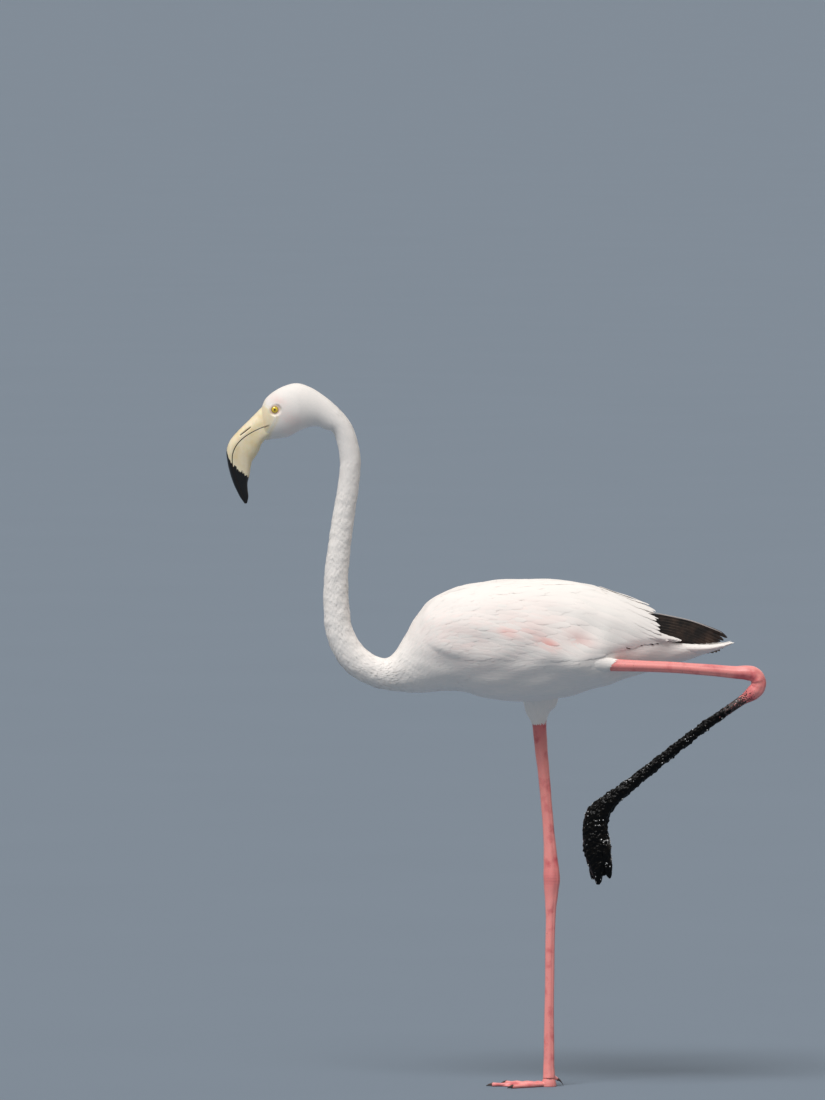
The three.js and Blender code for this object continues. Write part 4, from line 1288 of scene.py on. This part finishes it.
def make_mud(colours, lump):
    """Mud: the lower leg and hanging toes swollen by lumps, joined and rounded off, with beads of water on
    it, which are painted grey to white as glints."""
    last = len(RAISED_LEG) - 1
    surface = limb_surface(RAISED_LEG, 0, last)
    shares = np.linspace(11.7 / last, 1, 260)
    angles = np.linspace(0, 2 * math.pi, 40, endpoint=False)
    grid = surface(shares[:, None], angles[None, :])
    cover = smoothstep(shares * last, 11.7, 13.0)[:, None]
    lift = lump * (ripple(grid, 9, 11) + 0.5 * ripple(grid, 3.5, 12)) - 0.9 - 3.2 * (1 - cover)
    parts = [closed_tube(surface, shares, 40, lift)]
    for number, (root, tip, radius) in enumerate(HANGING_TOES):
        root, tip = np.array(root, float), np.array(tip, float)

        def toe(share, angle, lift=0.0):
            share, angle = np.broadcast_arrays(share, angle)
            centre = root + share[..., None] * (tip - root)
            place_on_toe = centre + 8 * np.stack([np.cos(angle), np.sin(angle), share], -1)
            bulge = lump * ripple(place_on_toe, 9, 20 + number)
            size = (radius - 0.8) * np.sqrt(1 - 0.96 * share**2.4) + bulge * (1 - share)
            size = np.maximum(size, 0.9)
            return centre + np.stack([size * np.cos(angle), size * np.sin(angle), 0 * size], -1)

        parts.append(closed_tube(toe, np.linspace(0, 1, 60), 32))
    mesh = finished_mesh(
        merged_mesh("mud", parts),
        ("REMESH", {"mode": "VOXEL", "voxel_size": 0.95}),
        ("SMOOTH", {"factor": 0.5, "iterations": 3}),
    )
    normals = np.empty(len(mesh.vertices) * 3, np.float32)
    mesh.vertex_normals.foreach_get("vector", normals)
    normals = normals.reshape(-1, 3)
    points = points_of(mesh)
    rough = 0.3 * ripple(points, 3.1, 31) + 0.3 * np.maximum(ripple(points, 5, 32), 0)
    points += normals * lump * rough[:, None]
    piece = make_piece("mud_on_leg", points, [triangles_of(mesh)], [mud_material(colours)], "wet_mud")
    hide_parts("tarsus_left", "foot_left")
    lay_beads(points, normals, drop_material())


def lay_beads(points, normals, material, count=200):
    """Beads of water, painted grey to white as glints: small balls at random points of the mud, gathered
    where a slow noise is high.
    """
    random = np.random.default_rng(33)
    weight = np.maximum(ripple(points, 30, 34) + 0.3, 0) ** 2 + 0.02
    chosen = random.choice(len(points), count, replace=False, p=weight / weight.sum())
    tilt = np.linspace(0, math.pi, 6)[1:-1, None]
    around = np.linspace(0, 2 * math.pi, 8, endpoint=False)[None, :]
    wide, high = np.sin(tilt), np.cos(tilt)
    ball = np.stack([wide * np.cos(around), wide * np.sin(around), high + 0 * around], -1)
    ball = np.vstack([ball.reshape(-1, 3), [[0, 0, 1], [0, 0, -1]]])
    radius = random.uniform(0.4, 1.15, count)[:, None, None]
    beads = (points[chosen] + normals[chosen] * 0.1)[:, None, :] + ball * radius
    quads, caps = tube_faces(4, 8)
    offset = np.arange(count)[:, None, None] * len(ball)
    make_piece("water_beads_with_painted_glints_on_mud", beads, [(quads + offset).reshape(-1, 4), (caps + offset).reshape(-1, 3)],
               [material], "wet_mud")


# --- Plumage ---------------------------------------------------------------------------------------------

# Pink of the plumage: x, z, half length and strength of each spot. A spot is half as high as long and leans
# down.
BLUSH_SPOTS = np.array([
    (-60, 641, 15, 0.35), (-4, 625, 15, 0.5), (38, 632, 20, 0.25), (-28, 645, 26, 0.15),
    (-122, 630, 75, 0.12), (-20, 652, 75, 0.1), (-384, 964, 13, 0.22), (-367, 938, 18, 0.16),
    (-366, 918, 14, 0.1),
])
BLUSH_LEAN = math.radians(-22)


def blush_at(points):
    """Pink of the plumage: soft oval spots where the coverts part over the middle of the wing, faint
    elsewhere."""
    along = np.array([math.cos(BLUSH_LEAN), math.sin(BLUSH_LEAN)])
    square = np.array([-along[1], along[0]])
    total = 0.03
    for x, z, reach, strength in BLUSH_SPOTS:
        away = (points[..., [0, 2]] - (x, z)) / reach
        total = total + strength * np.exp(-((away @ along) ** 2) - 4 * (away @ square) ** 2)
    return np.clip(total, 0, 1)


def cream_at(points):
    """Cream that the smallest feathers take on as they thin out towards the bare face."""
    return 0.85 * smoothstep(bare(points), -8, 0.5) * (points[..., 2] > 895) * (points[..., 0] < -370)


def contour_coat(name, surface, roots, length, half, slant, material, deep, seed, loose=0.12, relief=0.25,
                 **look):
    """A coat piece of contour feathers on a surface. Roots lie deep under the outline and tips on it, a
    little more or less at random, and neighbours lift and turn together."""
    s, a = roots
    random = np.random.default_rng(seed)
    count = len(s)
    here = surface(s, a)
    length = length * random.uniform(0.85, 1.15, count)
    slant = slant + random.normal(0, 0.07, count) + 0.12 * ripple(here, 60, seed)
    tip = tips_of(surface, s, a, length, slant)
    high = -deep * (0.12 + loose * random.random(count) - (loose + 0.02) * ripple(here, 22, seed + 1))
    vanes = lay_vanes(surface, (s, a), tip, half * random.uniform(0.85, 1.15, count), (-deep, high),
                      seed=seed, bow=random.normal(0, 0.04, count), **look)
    span = (s - s.min()) / np.ptp(s)
    return make_plumage(name, vanes, (span, (a + math.pi) / (2 * math.pi)), material, "plumage", relief)


def make_plumage(name, vanes, roots, material, slot, relief):
    """A coat piece with the values of the plumage's colours."""
    points = vanes["points"]
    return make_coat(name, vanes, roots, material, slot, relief, blush=blush_at(points),
                     cream=cream_at(points))


def lay_head(material, crown):
    """Head: the shortest feathers, from half of the crown's length at the bill, none on the bare face or
    lids."""
    def spacing(section):
        return mix(0.75, 1.25, smoothstep(section, 0.3, 5)) * crown / 6.5

    s, a = rows_on(head_point, 0.1, 7.1, spacing, spacing, seed=31)
    roots = head_point(s, a)
    ragged = 0.8 * ripple(roots, 4, 33)
    off_eye = eye_distance(roots) + 100 * (np.abs(roots[:, 1]) < 8) > 6.4
    kept = (bare(roots) < ragged - 0.2) & off_eye
    s, a, roots = s[kept], a[kept], roots[kept]
    away = roots - EYE
    near = np.exp(-((eye_distance(roots) / 11) ** 2)) * (np.abs(roots[:, 1]) > 8)
    length = mix(0.6, 1.0, smoothstep(s, 0.3, 6)) * crown * (1 - 0.6 * near)
    turn = 0.9 * near * np.clip(-away[:, 2] / 4, -1, 1) * np.sign(a)
    for name, part in (("face_feathers", s < 2.6), ("crown_feathers", s >= 2.6)):
        contour_coat(name, head_point, (s[part], a[part]), length[part], length[part] * 0.17, turn[part],
                     material, coat_depth(s[part]) - 0.05, 32, stations=3, bluntness=1.7, relief=0.15)


def lay_neck(material, root_length):
    """Neck: small pointed feathers that grow longer from the head down to the trunk."""
    def spacing(section):
        return mix(1.6, 2.8, smoothstep(section, 8, 18)) * root_length / 15

    groups = (("upper_neck_feathers", 6.9, 12.3, 41), ("lower_neck_feathers", 12.2, 18.8, 42))
    for name, first, last, seed in groups:
        s, a = rows_on(body_point, first, last, spacing, lambda section: 1.25 * spacing(section), seed)
        length = mix(0.5, 1.0, smoothstep(s, 8, 18)) * root_length
        contour_coat(name, coat_point, (s, a), length, length * 0.17, 0.0, material, coat_depth(s) + 0.2,
                     seed + 5, stations=4, bluntness=1.7, fray=0.2, loose=0.2, relief=0.3)


def wing_edges(along):
    """Angles of the folded wing's upper and lower edge: both open from the shoulder as a quarter circle, run
    level, and bend together to the tip."""
    swell = np.minimum(1, along / 0.2)
    opened = np.maximum(0.15, np.sqrt(np.maximum(0, 1 - (1 - swell) ** 2)))
    edges = []
    for angle, bends, power, tip in ((9, 0.84, 1.4, 62), (103, 0.7, 1.3, 68)):
        bend = np.maximum(0, (np.clip(along, 0, 1) - bends) / (1 - bends)) ** power
        edges.append(np.radians(mix(mix(56, angle, opened), tip, bend)))
    return edges


def wing_share(s, a):
    """Where a point of the trunk is on the folded wing: share along it and share across it."""
    along = (s - TRUNK_START - WING_FROM) / (WING_TO - WING_FROM)
    upper, lower = wing_edges(np.clip(along, 0, 1))
    return along, (np.abs(a) - upper) / (lower - upper)


def coat_point(section, angle, lift=0.0):
    """The outline of neck and trunk as the plumage shapes it: soft lumps, wings a little proud of the flank,
    a swelling where the flank's feathers cover the raised thigh, and one on both sides where the rump's
    cover the tail."""
    section, angle, lift = np.broadcast_arrays(section, angle, lift)
    base = body_point(section, angle)
    along, across = wing_share(section, angle)
    x, y, z = np.moveaxis(base, -1, 0)
    uneven = 0.5 + 1.1 * ripple(base * np.array([0.6, 1, 1]), 38, 57) * smoothstep(section, 17, 20)
    neck = smoothstep(section, 6.5, 12) * (1 - smoothstep(section, 17, 20))
    uneven = mix(uneven, 0.35 + 0.36 * ripple(base, 15, 58) + 0.2 * ripple(base, 6, 59), neck)
    ends = smoothstep(along, -0.02, 0.1) * (1 - smoothstep(along, 0.85, 1.0))
    wing = 2.2 * ends * smoothstep(across, -0.05, 0.15) * (1 - smoothstep(across, 0.9, 1.06))
    thigh = smoothstep(x, -45, 52) * (1 - smoothstep(x, 66, 98)) * np.exp(-(((z - 604 + x / 12) / 24) ** 2))
    rump = smoothstep(x, 165, 205) * np.exp(-(((z - 616) / 9) ** 2))
    return body_point(section, angle, lift + uneven + wing + 14.5 * thigh * (y < 0) + 4.5 * rump)


def lay_trunk(material, longest):
    """Breast, back, flanks and belly, but for what the wings cover. The flank's feathers turn up over the
    wing's lower edge."""
    def spacing(section):
        return mix(2.8, 4.9, smoothstep(section, 18, 22)) * longest / 30

    s, a = rows_on(body_point, 17.6, 28.6, spacing, spacing, seed=51)
    along, across = wing_share(s, a)
    covered = (along > 0.06) & (along < 0.93) & (across > 0.1) & (across < 0.84)
    s, a, along, across = s[~covered], a[~covered], along[~covered], across[~covered]
    length = mix(0.5, 1.0, smoothstep(s, 18, 22)) * longest
    flank = np.exp(-(((across - 1.0) / 0.13) ** 2))
    flank = flank * smoothstep(along, 0.08, 0.2) * (1 - smoothstep(along, 0.5, 0.62))
    slant = -0.3 * flank * np.sign(a)
    upper = np.abs(a) < 1.45
    for name, part in (("breast_and_back_feathers", upper), ("flank_and_belly_feathers", ~upper)):
        contour_coat(name, coat_point, (s[part], a[part]), length[part], length[part] * 0.2, slant[part],
                     material, coat_depth(s[part]) - 0.1, 52, stations=6, bluntness=2.0, fray=0.25,
                     relief=0.3)


def lay_thighs(material, longest):
    """Thighs: long loose feathers that end in a ragged edge over the bare leg. Each leg has the share along
    its feathered part at which they end, and how much further the front ones reach."""
    for name, stations, reach, lean in (("right", STANDING_LEG, 1.04, 0.0), ("left", RAISED_LEG, 0.99, 0.05)):
        limb = limb_surface(stations, 0, FEATHER_EDGE)

        def surface(share, angle, lift=0.0, limb=limb):
            return limb(share, angle, lift + 0.8 * np.clip(share, 0, 1.1))

        s, a = rows_on(surface, 0.02, 0.99, lambda share: mix(4.4, 1.4, share),
                       lambda share: mix(4.4, 1.8, share), 61)
        ragged = 0.05 * np.random.default_rng(63).random(len(s))
        edge = reach + lean * np.cos(a) - ragged - 0.14 * (1 - s)
        kept = edge > s + 0.025
        s, a, edge = s[kept], a[kept], edge[kept]
        pace = np.linalg.norm(surface(s + 1e-3, a) - surface(s, a), axis=-1) * 1e3
        length = np.minimum(1.25 * longest, (edge - s) * pace)
        contour_coat(f"{name}_thigh_feathers", surface, (s, a), length, 0.7 + length * 0.13, 0.0, material,
                     mix(1.6, 1.7, s), 62, stations=6, bluntness=1.8, fray=0.2, relief=0.35)


# Rows of the wing, each group from the shoulder back: name, first and last share along the wing, length of
# the first and last row as a share of the longest covert, spacing and half width as shares of the length, how
# deep the roots lie, stations, columns, bluntness of the tip.
COVERTS = (
    ("lesser_coverts", -0.05, 0.30, 0.34, 0.50, 0.14, 0.21, 1.5, 6, 5, 2.4),
    ("median_coverts", 0.28, 0.52, 0.52, 0.76, 0.14, 0.19, 1.5, 9, 5, 2.2),
    ("greater_coverts", 0.50, 0.76, 0.86, 1.08, 0.14, 0.15, 1.6, 14, 7, 1.9),
)


def wing_vanes(hand, s, a, length, slant, half, deep, high, seed, **look):
    """Vanes on one folded wing, whose tips stay inside the wing's edges."""
    random = np.random.default_rng(seed)
    tip_s, tip_a = tips_of(coat_point, s, a, length, slant)
    tip_s = np.minimum(tip_s, TRUNK_START + WING_TO + 0.15 + 0.25 * random.random(len(s)))
    upper, lower = wing_edges((tip_s - TRUNK_START - WING_FROM) / (WING_TO - WING_FROM))
    margin = 0.08 * random.random(len(s))
    tip_a = np.clip(tip_a, upper - 0.02 + margin, lower + 0.04 - margin)
    return lay_vanes(coat_point, (s, a * hand), (tip_s, tip_a * hand), half, (high - deep, high),
                     tilt=0.04 * hand, bow=random.normal(0.03, 0.05, len(s)), seed=seed, **look)


def lay_wings(material, longest, tertial):
    """Coverts and tertials: rows from the shoulder back, each longer than the last, which lean down more
    towards the lower rear edge."""
    for side, hand in (("left", 1), ("right", -1)):
        for number, group in enumerate(COVERTS):
            name, first, last, short, long, spacing, aspect, deep, stations, columns, bluntness = group
            random = np.random.default_rng(70 + number)
            found, along = [], first
            while along < last:
                upper, lower = wing_edges(max(along, 0) + 0.03)
                length = mix(short, long, (along - first) / (last - first)) * longest
                count = max(3, int((lower - upper) * 74 / (length * aspect * 1.15)))
                across = (np.arange(count) + 0.5 + random.uniform(-0.35, 0.35, count)) / count
                step = length * spacing / WING_LENGTH
                places = along + 0.03 * (across - 0.3) + random.uniform(-0.4, 0.4, count) * step
                found.append(np.stack([places, across, np.full(count, length)]))
                along += step
            places, across, length = np.concatenate(found, 1)
            upper, lower = wing_edges(np.maximum(places, 0) + 0.03)
            a = mix(upper - 0.05, lower - 0.03, across)
            s = TRUNK_START + mix(WING_FROM, WING_TO, places)
            slant = mix(0.05, 0.5, across**1.1) * mix(0.45, 1.0, smoothstep(places, 0.05, 0.6))
            here = body_point(s, a)
            slant = slant + random.normal(0, 0.045, len(s)) + 0.08 * ripple(here, 70, 75)
            length = length * random.uniform(0.88, 1.12, len(s))
            high = random.uniform(-0.3, 0.3, len(s)) + 1.6 * smoothstep(places, 0.45, 0.8)
            vanes = wing_vanes(hand, s, a, length, slant, length * aspect, deep, high, 71 + number,
                               stations=stations, columns=columns, bluntness=bluntness, fray=0.3, curl=0.8)
            piece = make_plumage(f"{side}_{name}", vanes, (places * 0.9 + 0.04, a / 2), material,
                                 "wing_coverts", mix(0.35, 0.6, number / 2))
            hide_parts(f"wing_{side}")
        count = 17
        random = np.random.default_rng(78)
        across = (np.arange(count) + 0.5) / count
        places = 0.66 + 0.06 * across + random.uniform(-0.02, 0.02, count)
        upper, lower = wing_edges(places)
        s, a = TRUNK_START + mix(WING_FROM, WING_TO, places), mix(upper, lower - 0.1, across)
        slant = mix(0.05, 0.42, across)
        vanes = wing_vanes(hand, s, a, tertial * mix(0.8, 1.2, across), slant, mix(9.0, 6.5, across), 7.0,
                           mix(8.5, 4.2, across), 79, stations=22, columns=7, bluntness=1.5, fray=0.3,
                           curl=mix(2.6, 1.2, across)[:, None], dip=0.0)
        piece = make_plumage(f"{side}_tertials", vanes, (places, a / 2), material, "wing_coverts", 0.5)
        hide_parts(f"wing_{side}")


def lay_secondaries(material):
    """Black secondaries, whose tips peep out under the tertials along the wing's lower rear edge."""
    for side, hand in (("left", 1), ("right", -1)):
        count = 9
        share = np.arange(count) / (count - 1)
        random = np.random.default_rng(85)
        tip_s = TRUNK_START + mix(WING_FROM, WING_TO, mix(0.80, 0.985, share))
        tip_s = tip_s + random.uniform(-0.03, 0.03, count)
        _, lower = wing_edges((tip_s - TRUNK_START - WING_FROM) / (WING_TO - WING_FROM))
        tip_a = lower + mix(0.03, 0.12, random.random(count))
        root_s, root_a = tip_s - 0.9, tip_a - 0.2
        vanes = lay_vanes(coat_point, (root_s, root_a * hand), (tip_s, tip_a * hand), np.full(count, 2.6),
                          (-1.6, 1.6), stations=12, bluntness=1.6, fray=0.2, seed=86)
        piece = make_coat(f"{side}_secondary_tips", vanes, (share, tip_a / 2), material,
                          "flight_feathers", 1.0)
        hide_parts(f"flight_{side}")


def lay_primaries(material):
    """Primaries: black blades stacked from the longest at the top to the shortest at the bottom of the
    folded wing's point. One narrow vane more, along the top of the longest, is a painted highlight: a pale
    strip that stands for the light's glint on its edge."""
    for side, stations, flip in (("left", FLIGHT_LEFT, -1), ("right", FLIGHT_RIGHT, 1)):
        surface = sheet_surface(stations, level=False, flip=flip)
        count = 8
        share = np.append(np.arange(count) / (count - 1), 0.0)
        root = (np.full(count + 1, -0.06), mix(13.5, -12.5, share))
        tip = (np.minimum(1.0, mix(1.0, 0.5, share**0.9)), mix(1.5, -12.5, share**0.6))
        half = np.append(np.full(count, 5.2), 0.9)
        rise = np.append(mix(2.4, 6.5, share[:-1]), 3.0)
        tip_rise = np.append(mix(0.8, 3.0, share[:-1]), 2.2)
        bow = np.append(mix(-0.4, -0.25, share[:-1]), -0.4)
        # The last vane is the painted highlight's strip along the top edge of the longest.
        root[1][-1], tip[0][-1], tip[1][-1] = 18.4, 0.86, 7.0
        vanes = lay_vanes(surface, root, tip, half, (rise, tip_rise), stations=26, columns=7, bluntness=2.4,
                          fray=0.1, bow=bow, tilt=0.07, seed=81)
        piece = make_coat(f"{side}_primaries", vanes, (share, share), material, "flight_feathers", 1.0,
                          pale=np.repeat(np.append(np.zeros(count), 0.85), vanes["points"].shape[1]))
        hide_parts(f"flight_{side}")


def lay_tail(material):
    """Tail: twelve white quills in a shallow fan, with soft coverts above and below."""
    surface = sheet_surface(TAIL, level=True)
    count = 12
    random = np.random.default_rng(90)
    spread = np.linspace(-1, 1, count)
    rise = 1.4 - 1.4 * np.abs(spread)
    root = (np.zeros(count), spread * 12)
    tip = (mix(0.84, 1.0, 1 - np.abs(spread) ** 1.6) - 0.08 * random.random(count), spread * 15)
    tip_rise = rise * 1.2 + random.uniform(-3, 2.5, count)
    vanes = lay_vanes(surface, root, tip, np.full(count, 5.0), (rise, tip_rise), stations=20, columns=7,
                      bluntness=1.3, fray=0.5, seed=91)
    piece = make_plumage("tail_quills", vanes, ((spread + 1) / 2, (spread + 1) / 2), material, "plumage", 0.6)
    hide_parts("tail")
    limb = limb_surface(TAIL, 0, len(TAIL) - 1)
    s, a = rows_on(limb, 0.01, 0.7, lambda share: 4.0, lambda share: 4.0, seed=92)
    length = mix(34.0, 22.0, s)
    contour_coat("tail_coverts", limb, (s, a), length, length * 0.17, 0.0, material, 2.0, 93, stations=8,
                 bluntness=2.0, fray=0.3)


# --- Stage -----------------------------------------------------------------------------------------------

PIXEL = 1.4  # millimetres in one pixel of the picture, at the bird
PICTURE = (825, 1100)
HOCK_COLUMN, FLOOR_ROW = 552, 1088  # pixels where bird x is 0 and where z is 0
CAMERA_DISTANCE = 20.0
CAMERA_ELEVATION = math.radians(3)
SENSOR = 36.0
FLOOR_REACH = 600.0


def make_floor(colours):
    """A flat floor of pale matt paint that reaches past the picture on all sides."""
    corners = [(x * FLOOR_REACH, y * FLOOR_REACH, 0) for x, y in ((-1, -1), (1, -1), (1, 1), (-1, 1))]
    mesh = bpy.data.meshes.new("floor")
    mesh.from_pydata(corners, [], [(0, 1, 2, 3)])
    material, tree, shader = new_material("pale_matt_floor_paint", Roughness=0.95, Specular_IOR_Level=0.1)
    coords = node(tree, "ShaderNodeTexCoord")
    cloud = node(tree, "ShaderNodeTexNoise", {"Vector": (coords, "Object")}, in_Scale=2.0, in_Detail=3.0)
    colour = node(tree, "ShaderNodeMix", {"Factor": (cloud, "Fac")}, data_type="RGBA", in_6=colours.floor,
                  in_7=[1.04 * channel for channel in colours.floor[:3]] + [1])
    tree.links.new(colour.outputs[2], shader.inputs["Base Color"])
    mesh.materials.append(material)
    floor = bpy.data.objects.new("floor", mesh)
    bpy.context.scene.collection.objects.link(floor)


def make_lights(colours):
    """A pale sky all round, a soft high lamp in front, and a weaker one from behind."""
    world = bpy.data.worlds.new("soft_sky")
    bpy.context.scene.world = world
    world.use_nodes = True
    background = world.node_tree.nodes["Background"]
    background.inputs["Color"].default_value = colours.sky
    background.inputs["Strength"].default_value = 0.38
    for name, towards, strength, width in (
        ("high_soft_lamp", (0.27, 0.55, -1.0), 2.65, 30),
        ("back_lamp", (-0.3, -0.9, -0.6), 0.3, 40),
    ):
        lamp = bpy.data.lights.new(name, "SUN")
        lamp.energy, lamp.angle = strength, math.radians(width)
        light = bpy.data.objects.new(name, lamp)
        light.rotation_mode = "QUATERNION"
        light.rotation_quaternion = Vector(towards).to_track_quat("-Z", "Y")
        bpy.context.scene.collection.objects.link(light)


def make_camera():
    """A long lens level with the bird, which takes in the picture's width and height."""
    middle = ((PICTURE[0] / 2 - HOCK_COLUMN) * PIXEL, 0, (FLOOR_ROW - PICTURE[1] / 2) * PIXEL)
    lens = bpy.data.cameras.new("long_lens")
    lens.sensor_width = SENSOR
    lens.lens = SENSOR * CAMERA_DISTANCE / (PICTURE[1] * PIXEL * MM)
    lens.clip_end = 2 * FLOOR_REACH
    camera = bpy.data.objects.new("long_lens", lens)
    back = np.array([0, -math.cos(CAMERA_ELEVATION), math.sin(CAMERA_ELEVATION)])
    camera.location = place(middle) + CAMERA_DISTANCE * back
    camera.rotation_euler = (math.pi / 2 - CAMERA_ELEVATION, 0, 0)
    bpy.context.scene.collection.objects.link(camera)
    bpy.context.scene.camera = camera


# --- Operators and panel ---------------------------------------------------------------------------------


class PieceOperator:
    """What the operators share: they read the scene's settings, and make their pieces from them."""

    bl_options = {"REGISTER", "UNDO"}

    def execute(self, context):
        self.make(context.scene.flamingo_colours, context.scene.flamingo_sizes)
        return {"FINISHED"}


class FLAMINGO_OT_skin(PieceOperator, bpy.types.Operator):
    """Make one skin over head, neck, trunk, legs and the standing foot"""

    bl_idname = "flamingo.skin"
    bl_label = "Skin"

    def make(self, colours, sizes):
        make_skin(colours)


class FLAMINGO_OT_bill(PieceOperator, bpy.types.Operator):
    """Make the upper and lower bill"""

    bl_idname = "flamingo.bill"
    bl_label = "Bill"

    def make(self, colours, sizes):
        make_bill(colours)


class FLAMINGO_OT_eyes(PieceOperator, bpy.types.Operator):
    """Make both eyeballs"""

    bl_idname = "flamingo.eyes"
    bl_label = "Eyes"

    def make(self, colours, sizes):
        make_eyes(colours)


class FLAMINGO_OT_claws(PieceOperator, bpy.types.Operator):
    """Make the standing foot's four claws"""

    bl_idname = "flamingo.claws"
    bl_label = "Claws"

    def make(self, colours, sizes):
        make_claws(colours)


class FLAMINGO_OT_mud(PieceOperator, bpy.types.Operator):
    """Make the mud that covers the raised leg and foot, with beads of water painted white as glints"""

    bl_idname = "flamingo.mud"
    bl_label = "Mud"

    def make(self, colours, sizes):
        make_mud(colours, sizes.mud_lump / MM)


class FLAMINGO_OT_contour_feathers(PieceOperator, bpy.types.Operator):
    """Lay the white feathers of head, neck, trunk, thighs, wings and tail"""

    bl_idname = "flamingo.contour_feathers"
    bl_label = "Contour feathers"

    def make(self, colours, sizes):
        white = plumage_material(colours)
        lay_head(white, sizes.crown_feather / MM)
        lay_neck(white, sizes.neck_feather / MM)
        lay_trunk(white, sizes.body_feather / MM)
        lay_thighs(white, sizes.thigh_feather / MM)
        lay_wings(white, sizes.covert / MM, sizes.tertial / MM)
        lay_tail(white)


class FLAMINGO_OT_flight_feathers(PieceOperator, bpy.types.Operator):
    """Lay the black primaries and secondaries"""

    bl_idname = "flamingo.flight_feathers"
    bl_label = "Flight feathers"

    def make(self, colours, sizes):
        black = quill_material(colours)
        lay_secondaries(black)
        lay_primaries(black)


class FLAMINGO_OT_stage(PieceOperator, bpy.types.Operator):
    """Make the floor, the lights and the camera"""

    bl_idname = "flamingo.stage"
    bl_label = "Stage"

    def make(self, colours, sizes):
        make_floor(colours)
        make_lights(colours)
        make_camera()
        bpy.context.scene.view_settings.view_transform = "Standard"


OPERATORS = (FLAMINGO_OT_skin, FLAMINGO_OT_bill, FLAMINGO_OT_eyes, FLAMINGO_OT_claws, FLAMINGO_OT_mud,
             FLAMINGO_OT_contour_feathers, FLAMINGO_OT_flight_feathers, FLAMINGO_OT_stage)


class FLAMINGO_PT_pieces(bpy.types.Panel):
    """Lists the settings and the operators that make the pieces"""

    bl_idname = "FLAMINGO_PT_pieces"
    bl_label = "Flamingo"
    bl_space_type = "VIEW_3D"
    bl_region_type = "UI"
    bl_category = "Flamingo"

    def draw(self, context):
        column = self.layout.column()
        for settings in (context.scene.flamingo_sizes, context.scene.flamingo_colours):
            for key in settings.__annotations__:
                column.prop(settings, key)
        for operator in OPERATORS:
            column.operator(operator.bl_idname)


CLASSES = (FlamingoSizes, FlamingoColours, *OPERATORS, FLAMINGO_PT_pieces)


def register():
    for cls in CLASSES:
        bpy.utils.register_class(cls)
    bpy.types.Scene.flamingo_sizes = PointerProperty(type=FlamingoSizes)
    bpy.types.Scene.flamingo_colours = PointerProperty(type=FlamingoColours)


def unregister():
    del bpy.types.Scene.flamingo_colours
    del bpy.types.Scene.flamingo_sizes
    for cls in reversed(CLASSES):
        bpy.utils.unregister_class(cls)


def main():
    register()
    bpy.ops.flamingo.skin()
    bpy.ops.flamingo.bill()
    bpy.ops.flamingo.eyes()
    bpy.ops.flamingo.claws()
    bpy.ops.flamingo.mud()
    bpy.ops.flamingo.contour_feathers()
    bpy.ops.flamingo.flight_feathers()
    bpy.ops.flamingo.stage()


if __name__ == "__main__":
    main()
